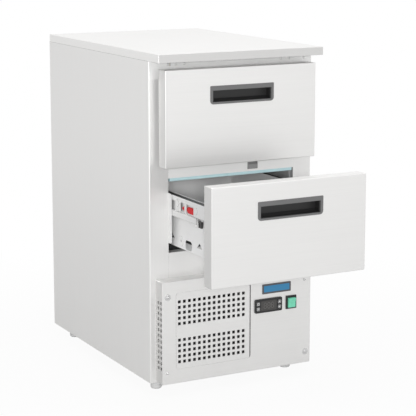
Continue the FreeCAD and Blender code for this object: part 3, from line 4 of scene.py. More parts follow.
import bmesh
import bpy
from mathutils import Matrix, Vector

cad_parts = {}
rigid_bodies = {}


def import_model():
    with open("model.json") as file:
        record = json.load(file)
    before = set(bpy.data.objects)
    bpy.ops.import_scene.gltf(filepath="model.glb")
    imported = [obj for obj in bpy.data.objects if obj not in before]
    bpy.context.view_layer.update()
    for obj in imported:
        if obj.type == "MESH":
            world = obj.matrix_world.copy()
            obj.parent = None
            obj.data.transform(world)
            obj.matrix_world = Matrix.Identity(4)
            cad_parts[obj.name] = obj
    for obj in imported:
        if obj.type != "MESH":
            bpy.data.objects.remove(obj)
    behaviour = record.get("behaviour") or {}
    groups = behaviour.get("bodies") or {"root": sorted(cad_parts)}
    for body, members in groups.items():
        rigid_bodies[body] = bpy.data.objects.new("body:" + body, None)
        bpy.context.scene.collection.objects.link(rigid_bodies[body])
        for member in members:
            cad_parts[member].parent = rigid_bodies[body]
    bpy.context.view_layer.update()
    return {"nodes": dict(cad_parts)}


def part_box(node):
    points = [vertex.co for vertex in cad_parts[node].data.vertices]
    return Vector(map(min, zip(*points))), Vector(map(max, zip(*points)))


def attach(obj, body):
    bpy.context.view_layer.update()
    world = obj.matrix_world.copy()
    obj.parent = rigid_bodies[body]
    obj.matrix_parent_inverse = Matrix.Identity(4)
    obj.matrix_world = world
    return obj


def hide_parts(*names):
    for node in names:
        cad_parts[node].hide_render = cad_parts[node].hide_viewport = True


bl_info = {
    "name": "Drawer counter fridge",
    "version": (1, 0, 0),
    "blender": (4, 5, 0),
    "location": "3D View > Sidebar > Fridge",
    "description": "Finishes and fine pieces for a two-drawer counter fridge",
    "category": "Object",
}

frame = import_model()
nodes = frame["nodes"]


# Sizes and colours that a user would change

COLOR = {"subtype": "COLOR", "size": 3, "min": 0, "max": 1}


class SteelSettings(bpy.types.PropertyGroup):
    outside: bpy.props.FloatVectorProperty(
        name="Outside steel", description="Colour of the satin steel outside",
        default=(0.87, 0.865, 0.855), **COLOR)
    # Painted light: the drawer boxes' steel is paler than the outside steel, to lighten their shaded
    # insides.
    inside: bpy.props.FloatVectorProperty(
        name="Inside steel", description="Colour of the steel of the drawer boxes",
        default=(0.97, 0.97, 0.965), **COLOR)
    # Painted shade: the lining's grey is darker than the outside steel, for the unlit cold space.
    lining: bpy.props.FloatVectorProperty(
        name="Lining", description="Colour of the steel that lines the cold space",
        default=(0.5, 0.5, 0.5), **COLOR)
    # Painted light: the rails' steel is paler than the outside steel, so the rails read bright in the shade
    # under the worktop and behind the fronts.
    rails: bpy.props.FloatVectorProperty(
        name="Rail steel", description="Colour of the rails over the fronts",
        default=(0.95, 0.95, 0.94), **COLOR)
    slides: bpy.props.FloatVectorProperty(
        name="Slides", description="Colour of the plated slide rails", default=(0.76, 0.76, 0.76), **COLOR)
    metal: bpy.props.FloatProperty(
        name="Metal", description="How much of the satin steel's shine is a metal's",
        default=0.65, min=0, max=1)
    roughness: bpy.props.FloatProperty(
        name="Roughness", description="How dull the satin polish is", default=0.36, min=0, max=1)
    grain_spacing: bpy.props.FloatProperty(
        name="Grain spacing", description="Distance between polishing lines", default=0.0009, unit="LENGTH")
    grain_length: bpy.props.FloatProperty(
        name="Grain length", description="Length of a polishing line", default=0.12, unit="LENGTH")
    spangle: bpy.props.FloatProperty(
        name="Spangle", description="Size of the crystals on zinc-coated sheet",
        default=0.012, unit="LENGTH")
    # Painted shade: faces that the polishing lines run into are given a darker colour.
    grain_end_shade: bpy.props.FloatProperty(
        name="Grain ends", description="How bright faces are that the polishing lines run into",
        default=0.78)
    edge_wear: bpy.props.FloatProperty(
        name="Edge wear", description="Width of the rubbed edges", default=0.0012, unit="LENGTH")


class MouldedSettings(bpy.types.PropertyGroup):
    handle: bpy.props.FloatVectorProperty(
        name="Handles", description="Colour of the handle cups' rims", default=(0.16, 0.16, 0.161), **COLOR)
    housing: bpy.props.FloatVectorProperty(
        name="Housings", description="Colour of the control housings",
        default=(0.014, 0.014, 0.015), **COLOR)
    strip: bpy.props.FloatVectorProperty(
        name="Strip", description="Colour of the strip under the cross rail",
        default=(0.60, 0.84, 0.90), **COLOR)
    lever: bpy.props.FloatVectorProperty(
        name="Levers", description="Colour of the release levers", default=(0.70, 0.006, 0.012), **COLOR)
    rocker: bpy.props.FloatVectorProperty(
        name="Rocker", description="Colour of the lit rocker", default=(0.165, 0.60, 0.41), **COLOR)
    plate: bpy.props.FloatVectorProperty(
        name="Badge plate", description="Colour of the bare plate over the controls",
        default=(0.085, 0.09, 0.10), **COLOR)
    badge: bpy.props.FloatVectorProperty(
        name="Badge field", description="Colour of the plate's bare field",
        default=(0.025, 0.24, 0.48), **COLOR)
    pale: bpy.props.FloatVectorProperty(
        name="Pale plastic", description="Colour of the guides, plugs and slide ends",
        default=(0.90, 0.90, 0.89), **COLOR)
    grain: bpy.props.FloatProperty(
        name="Moulded grain", description="Size of the grain on moulded plastic",
        default=0.0009, unit="LENGTH")


class DetailSettings(bpy.types.PropertyGroup):
    screw_flange: bpy.props.FloatProperty(
        name="Screw flange", description="Radius of a cover screw's washer flange",
        default=0.0082, unit="LENGTH")
    recess_width: bpy.props.FloatProperty(
        name="Screw recess width", description="Width of the cross in a screw head",
        default=0.0014, unit="LENGTH")
    plug_radius: bpy.props.FloatProperty(
        name="Plug radius", description="Radius of the plugs in the top rail",
        default=0.0033, unit="LENGTH")
    ball_radius: bpy.props.FloatProperty(
        name="Slide ball radius", description="Radius of the balls in the slides",
        default=0.0016, unit="LENGTH")
    ball_spacing: bpy.props.FloatProperty(
        name="Slide ball spacing", description="Distance between the balls of a row",
        default=0.008, unit="LENGTH")
    fin_pitch: bpy.props.FloatProperty(
        name="Fin pitch", description="Distance between the fins of the coils",
        default=0.0026, unit="LENGTH")
    fin_thickness: bpy.props.FloatProperty(
        name="Fin thickness", description="Thickness of a fin", default=0.0003, unit="LENGTH")
    thread_pitch: bpy.props.FloatProperty(
        name="Thread pitch", description="Pitch of the feet's threads", default=0.0015, unit="LENGTH")
    seal_pleats: bpy.props.IntProperty(
        name="Seal pleats", description="Number of pleats in a drawer's magnetic seal",
        default=2, min=1, max=4)
    display_digits: bpy.props.IntProperty(
        name="Display digits", description="Number of unlit digits on the display", default=3, min=1, max=3)


class StageSettings(bpy.types.PropertyGroup):
    floor: bpy.props.FloatVectorProperty(
        name="Floor", description="Colour of the floor", default=(0.6, 0.6, 0.6), **COLOR)
    fill: bpy.props.FloatProperty(
        name="Fill", description="Strength of the even light all round", default=0.44, min=0)
    key_power: bpy.props.FloatProperty(
        name="Key light", description="Power of the small lamp at the camera", default=56, min=0)
    top_power: bpy.props.FloatProperty(
        name="Top light", description="Power of the large lamp overhead", default=50, min=0)
    lens: bpy.props.FloatProperty(
        name="Lens", description="Focal length of the camera", default=127.94, unit="CAMERA")


# Shader maths: a socket that can be added, multiplied and so on

class Wire:
    """An output of a node, which can be used in sums."""

    def __init__(self, tree, socket):
        self.tree = tree
        self.socket = socket

    def math(self, operation, *values):
        return self.tree.make("ShaderNodeMath", {"operation": operation}, dict(enumerate(values)))

    def __add__(self, other):
        return self.math("ADD", self, other)

    __radd__ = __add__

    def __sub__(self, other):
        return self.math("SUBTRACT", self, other)

    def __rsub__(self, other):
        return self.math("SUBTRACT", other, self)

    def __mul__(self, other):
        return self.math("MULTIPLY", self, other)

    __rmul__ = __mul__

    def __truediv__(self, other):
        return self.math("DIVIDE", self, other)

    def __lt__(self, other):
        return self.math("LESS_THAN", self, other)

    def __gt__(self, other):
        return self.math("GREATER_THAN", self, other)

    def clamped(self):
        return self.tree.make("ShaderNodeClamp", {}, {"Value": self})

    def size(self):
        return self.math("ABSOLUTE", self)


class Tree:
    """A node tree under construction."""

    def __init__(self, nodes_and_links):
        self.nodes = nodes_and_links.nodes
        self.links = nodes_and_links.links

    def make(self, kind, settings, sockets, output=0):
        """Adds a node: its settings first, then the values or links of its sockets; returns one output."""
        node = self.nodes.new(kind)
        for name, value in settings.items():
            setattr(node, name, value)
        for name, value in sockets.items():
            if isinstance(value, Wire):
                self.links.new(value.socket, node.inputs[name])
            else:
                node.inputs[name].default_value = value
        return Wire(self, node.outputs[output]) if len(node.outputs) else None


class Finish(Tree):
    """The nodes of a material or of the world."""

    def __init__(self, name, world=False):
        self.kind = "World" if world else "Material"
        self.owner = (bpy.data.worlds if world else bpy.data.materials).new(name)
        self.owner.use_nodes = True
        self.owner.node_tree.nodes.clear()
        super().__init__(self.owner.node_tree)

    def place(self):
        return self.make("ShaderNodeTexCoord", {}, {}, "Object")

    def along(self, axis):
        """Distance along one axis of the object."""
        return self.make("ShaderNodeSeparateXYZ", {}, {"Vector": self.place()}, axis.upper())

    def stretched(self, scale):
        """Object coordinates with a scale of their own along each axis."""
        return self.make("ShaderNodeMapping", {}, {"Vector": self.place(), "Scale": scale})

    def noise(self, scale=1.0, detail=3.0, roughness=0.5, vector=None):
        """Cloudy noise, on object coordinates unless others are given."""
        vector = self.place() if vector is None else vector
        sockets = {"Vector": vector, "Scale": scale, "Detail": detail, "Roughness": roughness}
        return self.make("ShaderNodeTexNoise", {}, sockets)

    def cells(self, size, output):
        """A pattern of cells: the colour of each one, or the distance from its centre."""
        sockets = {"Vector": self.place(), "Scale": 1 / size}
        return self.make("ShaderNodeTexVoronoi", {}, sockets, output)

    def mix(self, factor, first, second):
        sockets = {0: factor, 6: first, 7: second}
        return self.make("ShaderNodeMix", {"data_type": "RGBA"}, sockets, 2)

    def tint(self, color, amount, low=0.93, high=1.04):
        """The colour, from its low to its high brightness as amount goes from 0 to 1."""
        return self.mix(amount, shade(color, low), shade(color, high))

    def bump(self, height, strength, distance):
        sockets = {"Height": height, "Strength": strength, "Distance": distance}
        return self.make("ShaderNodeBump", {}, sockets)

    def facing(self, axis):
        """1 on faces that look straight along an axis and 0 on faces that lie along it."""
        normal = self.make("ShaderNodeNewGeometry", {}, {}, "Normal")
        return self.make("ShaderNodeSeparateXYZ", {}, {"Vector": normal}, axis.upper()).size()

    def edges(self, width):
        """1 along edges and 0 on flat faces: it marks rubbed edges and the edges that get painted shade."""
        sharpness = 5
        sockets = {0: self.make("ShaderNodeBevel", {"samples": 4}, {"Radius": width}),
                   1: self.make("ShaderNodeNewGeometry", {}, {}, "Normal")}
        alike = self.make("ShaderNodeVectorMath", {"operation": "DOT_PRODUCT"}, sockets, "Value")
        return ((1 - alike) * sharpness).clamped()

    def surface(self, color, roughness, others=None):
        """The shader of a piece, from its colour, its roughness and the other sockets that it needs."""
        sockets = {"Base Color": color, "Roughness": roughness, **(others or {})}
        self.finish(self.make("ShaderNodeBsdfPrincipled", {}, sockets))
        return self.owner

    def finish(self, shader):
        self.make("ShaderNodeOutput" + self.kind, {}, {"Surface": shader})


def shade(color, amount):
    """The colour made darker or lighter, as a shader's socket takes it."""
    return tuple(min(1, part * amount) for part in color) + (1,)


def grained(axis, along, across):
    """A scale for each axis: one along the polishing lines and another across them."""
    return tuple(along if letter == axis else across for letter in "xyz")


def satin_steel(name, color, axis, roughness=None, metal=None, dark_above=None, dark_below=None,
                seam=None, edge_shade=None):
    """Sheet polished with fine lines along one axis, with faint smears, slow waves and rubbed edges.

    Above the height dark_above it is dark, painted shade for a gap along the top, and below dark_below it
    grows darker towards the bottom, painted shade for an unlit low part.
    A seam is the height of a joint whose crack shows as a dark line of painted shade.
    The last argument sets how bright the painted shade along all edges is.
    """
    steel = bpy.context.scene.fridge_steel
    roughness = steel.roughness if roughness is None else roughness
    metal = steel.metal if metal is None else metal
    lip_gap_shade_tone, crack_shade_tone, bottom_shade_tone = 0.04, 0.72, 0.12
    crack_width, bottom_shade_fade = 0.0007, 0.06
    finish = Finish(name)
    along, across = 1 / steel.grain_length, 1 / steel.grain_spacing
    lines = finish.noise(detail=2, vector=finish.stretched(grained(axis, along, across)))
    bands = finish.noise(detail=3, vector=finish.stretched(grained(axis, along * 0.4, across * 0.16)))
    smears = finish.noise(scale=4.5, detail=3, roughness=0.6)
    waves = finish.noise(scale=2.2, detail=0)
    edge_mask = finish.edges(steel.edge_wear)
    amount = (0.4 * lines + 0.3 * bands + 0.15 * smears + 0.15 * edge_mask).clamped()
    dull = (roughness - 0.16 + 0.14 * lines + 0.10 * bands + 0.10 * smears - 0.1 * edge_mask).clamped()
    height = 0.5 * lines + 0.5 * bands + 14 * waves
    # Painted shade: faces that look along the grain get a darker colour.
    ends = finish.facing(axis)
    tone = finish.mix(ends, finish.tint(color, amount), shade(color, steel.grain_end_shade))
    # Painted shade: all edges are darkened, standing in for the shade in creases and corners.
    if edge_shade is not None:
        tone = finish.mix(edge_mask * (0.5 + 0.5 * smears), tone, shade(color, edge_shade))
    # Painted shade: a dark band above dark_above stands for the shadow in a gap.
    if dark_above is not None:
        tone = finish.mix(finish.along("z") > dark_above, tone, shade(color, lip_gap_shade_tone))
    # Painted shade: a thin dark line at the seam's height, for the shadow in the joint's crack.
    if seam is not None:
        crack = (finish.along("z") - seam).size() < crack_width
        tone = finish.mix(crack, tone, shade(color, crack_shade_tone))
    # Painted shade: below dark_below the colour grows darker towards the bottom.
    if dark_below is not None:
        bottom_shade = ((dark_below - finish.along("z")) / bottom_shade_fade + smears - 0.5).clamped()
        tone = finish.mix(bottom_shade, tone, shade(color, bottom_shade_tone))
    return finish.surface(tone, dull, {"Metallic": metal, "Normal": finish.bump(height, 0.2, 0.00006)})


def zinc_sheet(name, color):
    """Zinc-coated sheet: crystals of slightly different brightness."""
    finish = Finish(name)
    crystals = finish.cells(bpy.context.scene.fridge_steel.spangle, "Color")
    bright = finish.make("ShaderNodeSeparateColor", {}, {"Color": crystals})
    cloud = finish.noise(scale=9, detail=4)
    amount = (0.6 * bright + 0.4 * cloud).clamped()
    return finish.surface(finish.tint(color, amount, 0.72, 1.05), 0.32 + 0.22 * bright, {"Metallic": 0.9})


def moulded(name, color, roughness, coat=0.0):
    """Moulded plastic with a fine etched grain, handling marks and lighter edges."""
    edge_width = 0.0006
    finish = Finish(name)
    etched = finish.noise(scale=1 / bpy.context.scene.fridge_moulded.grain, detail=2)
    rubbed = finish.noise(scale=24, detail=4, roughness=0.6)
    edge_mask = finish.edges(edge_width)
    tone = finish.tint(color, (0.7 * rubbed + 0.3 * edge_mask).clamped(), 0.86, 1.15)
    dull = (roughness - 0.08 + 0.1 * etched + 0.1 * rubbed).clamped()
    return finish.surface(tone, dull, {"Coat Weight": coat, "Normal": finish.bump(etched, 0.18, 0.00008)})


def cup_plastic(name, color, face, depth):
    """A handle's plastic: grained grey on its rim, with painted shade that grows darker the deeper its cup
    goes behind the face.
    """
    finish = Finish(name)
    etched = finish.noise(scale=1 / bpy.context.scene.fridge_moulded.grain, detail=2)
    rubbed = finish.noise(scale=18, detail=4, roughness=0.6)
    # Painted shade: the cup darkens with its depth behind the rim.
    recess_shade = ((finish.along("y") - face) / depth).clamped()
    tone = finish.mix(recess_shade, finish.tint(color, rubbed, 0.88, 1.12), shade(color, 0.12))
    dull = (0.42 + 0.12 * etched).clamped()
    return finish.surface(tone, dull, {"Normal": finish.bump(etched, 0.25, 0.0001)})


def two_moulded(name, front, back, face):
    """Two plastics in one moulding: one ahead of a plane across the slide and one behind it."""
    finish = Finish(name)
    rubbed = finish.noise(scale=60, detail=3)
    ahead = finish.along("y") < face
    tone = finish.mix(ahead, finish.tint(back, rubbed, 0.92, 1.05), finish.tint(front, rubbed, 0.8, 1.2))
    return finish.surface(tone, 0.34 + 0.1 * rubbed)


def glowing(name, color, strength, roughness=0.3):
    """Clear coloured plastic, lit from inside a little unevenly."""
    finish = Finish(name)
    tone = finish.tint(color, finish.noise(scale=160, detail=2), 0.85, 1.15)
    return finish.surface(tone, roughness, {"Emission Color": tone, "Emission Strength": strength})


def painted(name, color, roughness=0.34):
    """Baked paint with a slight orange-peel surface and settled dust."""
    finish = Finish(name)
    peel = finish.noise(scale=420, detail=1)
    dust = finish.noise(scale=11, detail=4, roughness=0.65)
    return finish.surface(finish.tint(color, dust, 0.8, 1.35), roughness + 0.2 * dust,
                          {"Normal": finish.bump(peel, 0.2, 0.0001)})


def copper_tube(name, color):
    """Bare copper that has darkened in patches."""
    finish = Finish(name)
    patches = finish.noise(scale=26, detail=4, roughness=0.6)
    return finish.surface(finish.tint(color, patches, 0.45, 1), 0.2 + 0.3 * patches, {"Metallic": 1.0})


def seal_rubber(name, color):
    """Soft extruded seal, dusty in patches and faintly lined."""
    finish = Finish(name)
    dust = finish.noise(scale=30, detail=4)
    lines = finish.noise(detail=1, vector=finish.stretched((900, 60, 900)))
    return finish.surface(finish.tint(color, dust, 0.85, 1.15), 0.62 + 0.15 * dust,
                          {"Normal": finish.bump(lines, 0.15, 0.0001)})


def foam_filling(name, color):
    """Cut rigid foam with small cells."""
    cell_size = 0.0014
    finish = Finish(name)
    cells = finish.cells(cell_size, "Distance")
    return finish.surface(finish.tint(color, cells, 0.8, 1.05), 0.85,
                          {"Normal": finish.bump(cells, 0.4, 0.0004)})


def smoked_window(name, color):
    """A dark window, hazy in patches with fingermarks."""
    finish = Finish(name)
    haze = finish.noise(scale=60, detail=3)
    return finish.surface(finish.tint(color, haze, 0.8, 1.2), 0.10 + 0.10 * haze, {"Coat Weight": 0.4})


def finned(name, color, scale):
    """Thin bare fins, dull with dust that has a scale of its own along each axis."""
    finish = Finish(name)
    dust = finish.noise(detail=4, vector=finish.stretched(scale))
    return finish.surface(finish.tint(color, dust, 0.7, 1.05), 0.35 + 0.25 * dust, {"Metallic": 0.9})


def dress(material, *names):
    """Gives CAD nodes a finish."""
    for name in names:
        for slot in nodes[name].material_slots:
            slot.material = material


def both(*names):
    """The names of pieces of the lower drawer, then of the upper one."""
    return ["%s_%s" % (level, name) for level in ("lower", "upper") for name in names]


def four(stem, first, second):
    """The names of four like pieces: the left pair, then the right pair."""
    return ["%s_%s_%s" % (stem, row, side) for side in ("left", "right") for row in (first, second)]


def finished_mesh(name, mesh, material, body):
    """Puts a made mesh in the scene as a piece that rides on a body."""
    piece = link(name, mesh)
    if not mesh.materials:
        mesh.materials.append(material)
    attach(piece, body)
    return piece


def plain_copy(item):
    """The shape that an object's modifiers make, as a plain mesh; the modifiers are taken off."""
    bpy.context.view_layer.update()
    graph = bpy.context.evaluated_depsgraph_get()
    mesh = bpy.data.meshes.new_from_object(item.evaluated_get(graph))
    item.modifiers.clear()
    return mesh


def mesh_from(name, build, *values):
    """A mesh made by a function that fills a bmesh from some values."""
    mesh = bpy.data.meshes.new(name)
    work = bmesh.new()
    build(work, *values)
    bmesh.ops.recalc_face_normals(work, faces=work.faces)
    work.to_mesh(mesh)
    work.free()
    return mesh


# Geometry Nodes: trees with named inputs

class Grower(Tree):
    """A geometry node tree under construction, with a named input for each size that it needs."""

    def __init__(self, name, **inputs):
        self.group = bpy.data.node_groups.new(name, "GeometryNodeTree")
        super().__init__(self.group)
        interface = self.group.interface
        self.ids = {}
        for label, kind in {"Geometry": "Geometry", **inputs, "Material": "Material"}.items():
            socket = interface.new_socket(label, in_out="INPUT", socket_type="NodeSocket" + kind)
            self.ids[label] = socket.identifier
        interface.new_socket("Geometry", in_out="OUTPUT", socket_type="NodeSocketGeometry")
        self.source = self.nodes.new("NodeGroupInput")

    def __getitem__(self, label):
        return Wire(self, self.source.outputs[label])

    def end(self, geometry):
        real = self.make("GeometryNodeRealizeInstances", {}, {"Geometry": geometry})
        sockets = {"Geometry": real, "Material": self["Material"]}
        self.make("NodeGroupOutput", {}, {0: self.make("GeometryNodeSetMaterial", {}, sockets)})
        return self


def grow(name, grower, values, start_mesh=None):
    """Runs a tree on a mesh and returns the result as a plain mesh."""
    seed = link(name + "_seed", start_mesh or bpy.data.meshes.new(name + "_seed"))
    modifier = seed.modifiers.new("grow", "NODES")
    modifier.node_group = grower.group
    for label, value in values.items():
        modifier[grower.ids[label]] = value
    mesh = plain_copy(seed)
    mesh.name = name
    bpy.data.objects.remove(seed)
    return mesh


def grown_piece(name, grower, values, material, body, start_mesh=None):
    """A piece made by a tree, in its finish."""
    mesh = grow(name, grower, {**values, "Material": material}, start_mesh)
    return finished_mesh(name, mesh, material, body)


def scatter_tree():
    """One template on every point of the starting mesh."""
    grower = Grower("template on points", Template="Object")
    template = grower.make("GeometryNodeObjectInfo", {"transform_space": "ORIGINAL"},
                           {"Object": grower["Template"]}, "Geometry")
    return grower.end(grower.make("GeometryNodeInstanceOnPoints", {}, {
        "Points": grower["Geometry"], "Instance": template}))


def fin_tree():
    """Thin plates side by side along X."""
    grower = Grower("fin pack", Fins="Int", First="Vector", Pitch="Vector", Plate="Vector")
    line = grower.make("GeometryNodeMeshLine", {}, {
        "Count": grower["Fins"], "Start Location": grower["First"], "Offset": grower["Pitch"]})
    plate = grower.make("GeometryNodeMeshCube", {}, {"Size": grower["Plate"]})
    return grower.end(grower.make("GeometryNodeInstanceOnPoints", {}, {"Points": line, "Instance": plate}))


def ball_tree():
    """Balls spaced evenly along the starting mesh's edges."""
    grower = Grower("balls in a row", Spacing="Float", Radius="Float")
    path = grower.make("GeometryNodeMeshToCurve", {}, {"Mesh": grower["Geometry"]})
    points = grower.make("GeometryNodeCurveToPoints", {"mode": "LENGTH"}, {
        "Curve": path, "Length": grower["Spacing"]})
    ball = grower.make("GeometryNodeMeshIcoSphere", {}, {"Radius": grower["Radius"], "Subdivisions": 2})
    smooth = grower.make("GeometryNodeSetShadeSmooth", {}, {"Geometry": ball})
    return grower.end(grower.make("GeometryNodeInstanceOnPoints", {}, {
        "Points": points, "Instance": smooth}))


def thread_tree():
    """A screw thread: a sharp ridge wound round a stud."""
    grower = Grower("stud thread", Turns="Float", Radius="Float", Height="Float", Ridge="Float",
                    Foot="Vector")
    helix = grower.make("GeometryNodeCurveSpiral", {}, {
        "Resolution": 24, "Rotations": grower["Turns"], "Start Radius": grower["Radius"],
        "End Radius": grower["Radius"], "Height": grower["Height"]})
    ridge = grower.make("GeometryNodeCurvePrimitiveCircle", {}, {"Resolution": 3, "Radius": grower["Ridge"]})
    wound = grower.make("GeometryNodeCurveToMesh", {}, {
        "Curve": helix, "Profile Curve": ridge, "Fill Caps": True})
    return grower.end(grower.make("GeometryNodeTransform", {}, {
        "Geometry": wound, "Translation": grower["Foot"]}))


def plain_mesh(name, points, lines=()):
    """A mesh of points, or of lines between them, for a tree to start from."""
    mesh = bpy.data.meshes.new(name)
    mesh.from_pydata(points, lines, [])
    return mesh


# Small solids for the fine pieces

PRINT_DEPTH = 0.0002
CORNERS = ((-1, -1), (1, -1), (1, 1), (-1, 1))


def turned(work, outline, steps=24):
    """A solid turned about the Y axis from its outline of (radius, y), which starts and ends on it."""
    angles = [2 * math.pi * step / steps for step in range(steps)]
    rows = []
    for radius, y in outline:
        if radius == 0:
            rows.append([work.verts.new((0, y, 0))] * steps)
        else:
            rows.append([work.verts.new((radius * math.cos(angle), y, radius * math.sin(angle)))
                         for angle in angles])
    for low, high in zip(rows, rows[1:]):
        for step in range(steps):
            following = (step + 1) % steps
            corners = [low[step], low[following], high[following], high[step]]
            work.faces.new(list(dict.fromkeys(corners)))


def dome_outline(radius, height, rings=5):
    """The outline of a low dome that faces -Y."""
    angles = [math.pi / 2 * ring / rings for ring in range(rings + 1)]
    curve = [(radius * math.cos(angle), -height * math.sin(angle)) for angle in angles[:-1]]
    return curve + [(0, -height)]


def slab(work, outline, front, back):
    """A flat piece between two depths, from its outline of (x, z)."""
    faces = [[work.verts.new((x, y, z)) for x, z in outline] for y in (front, back)]
    work.faces.new(faces[0])
    work.faces.new(faces[1][::-1])
    for step in range(len(outline)):
        following = (step + 1) % len(outline)
        work.faces.new((faces[0][step], faces[1][step], faces[1][following], faces[0][following]))


def skin(work, loops):
    """Faces from each loop of corners to the next one, and from the last to the first."""
    for first, second in zip(loops, loops[1:] + loops[:1]):
        for step in range(len(first)):
            following = (step + 1) % len(first)
            work.faces.new((first[step], first[following], second[following], second[step]))


def ring_slab(work, outer, inner, front, back):
    """A flat frame between two depths, from its outer and inner outlines of (x, z)."""
    rings = ((outer, front), (inner, front), (inner, back), (outer, back))
    skin(work, [[work.verts.new((x, y, z)) for x, z in outline] for outline, y in rings])


def rounded_outline(centre, half_width, half_height, radius, steps=5):
    """A rectangle with round corners, as points of (x, z)."""
    points = []
    for quarter, (side, up) in enumerate(((1, 1), (-1, 1), (-1, -1), (1, -1))):
        for step in range(steps + 1):
            angle = math.pi / 2 * (quarter + step / steps)
            points.append((centre[0] + side * (half_width - radius) + radius * math.cos(angle),
                           centre[1] + up * (half_height - radius) + radius * math.sin(angle)))
    return points


def round_outline(centre, radius, sides=20, turn=0.0):
    angles = [turn + 2 * math.pi * side / sides for side in range(sides)]
    return [(centre[0] + radius * math.cos(angle), centre[1] + radius * math.sin(angle))
            for angle in angles]


def link(name, mesh):
    item = bpy.data.objects.new(name, mesh)
    bpy.context.scene.collection.objects.link(item)
    return item


def screw_template(radius, flange, height, recess):
    """A domed head on a thin washer flange, with a cross cut into it, facing -Y."""
    thick = height * 0.25
    bevel = thick * 0.4
    outline = [(0, 0), (flange, 0), (flange, bevel - thick), (flange - bevel, -thick)]
    outline += [(out, rise - thick) for out, rise in dome_outline(radius, height - thick)]
    head = link("head", mesh_from("head", turned, outline))
    reach, half = radius * 0.5, recess / 2
    over, floor = -height * 1.5, -height * 0.4
    cutters = []
    for half_x, half_z in ((reach, half), (half, reach)):
        groove = [(half_x * x, half_z * z) for x, z in CORNERS]
        cutters.append(link("cutter", mesh_from("cutter", slab, groove, over, floor)))
        modifier = head.modifiers.new("recess", "BOOLEAN")
        modifier.operation = "DIFFERENCE"
        modifier.solver = "EXACT"
        modifier.object = cutters[-1]
    mesh = plain_copy(head)
    for item in [head] + cutters:
        bpy.data.objects.remove(item)
    return link("screw_template", mesh)


def scattered(name, template, places, material):
    """A piece of the cabinet that is made of copies of a template, which is used up."""
    spots = plain_mesh(name + "_points", places)
    piece = grown_piece(name, scatter_tree(), {"Template": template}, material, "cabinet", spots)
    bpy.data.objects.remove(template)
    return piece


# Operators

class FRIDGE_OT_sheet_steel(bpy.types.Operator):
    """Polishes the sheet steel, outside and inside, each sheet along its own grain"""
    bl_idname = "fridge.sheet_steel"
    bl_label = "Sheet steel"

    def execute(self, context):
        steel = context.scene.fridge_steel
        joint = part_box("worktop")[0].z
        shaded_band_height, lip = 0.11, 0.0012
        # The plated slides get painted shade along their edges.
        plated = {"roughness": 0.34, "metal": 0.6, "edge_shade": 0.25}
        level = satin_steel("steel_grain_across", steel.outside, "x")
        # Painted light: the rails get a paler copy of the outside steel.
        rails = satin_steel("steel_rails", steel.rails, "x", metal=0.1)
        upright = satin_steel("steel_grain_upright", steel.outside, "z", metal=0.5, seam=joint)
        deep = satin_steel("steel_grain_deep", steel.outside, "y", seam=joint)
        # Painted light: the boxes get a paler copy of the steel, with painted shade along their edges.
        inside = satin_steel("steel_inside", steel.inside, "z", roughness=0.5, metal=0.12, edge_shade=0.55)
        slides = satin_steel("steel_slides", steel.slides, "y", **plated)
        dress(level, "service_cover", "condenser_grille", *both("front_skin"))
        dress(rails, "top_rail", "cross_rail")
        dress(upright, "left_side_panel", "right_side_panel", "cabinet_deck")
        dress(deep, "worktop", "cover_screws")
        dress(inside, *both("drawer_box"))
        # Painted shade: the lining darkens over its lowest part, where little light reaches.
        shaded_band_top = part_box("inner_liner")[0].z + shaded_band_height
        # Painted shade: the lining's steel is a darker grey than the outside steel.
        lining = satin_steel("steel_lining", steel.lining, "z", roughness=0.5, metal=0.3,
                             dark_below=shaded_band_top)
        dress(lining, "inner_liner", "slide_uprights", "evaporator_cover")
        dress(slides, "fixed_rails", *both("middle_rails"))
        for rail in both("drawer_rails"):
            # Painted shade: a thin dark line along the top of each drawer rail, for the gap between the rail
            # and its box.
            lip_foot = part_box(rail)[1].z - lip
            dress(satin_steel(rail + "_steel", steel.slides, "y", dark_above=lip_foot, **plated), rail)
        dress(zinc_sheet("zinc_sheet", (0.60, 0.61, 0.62)), "base_tray", "back_panel")
        return {"FINISHED"}


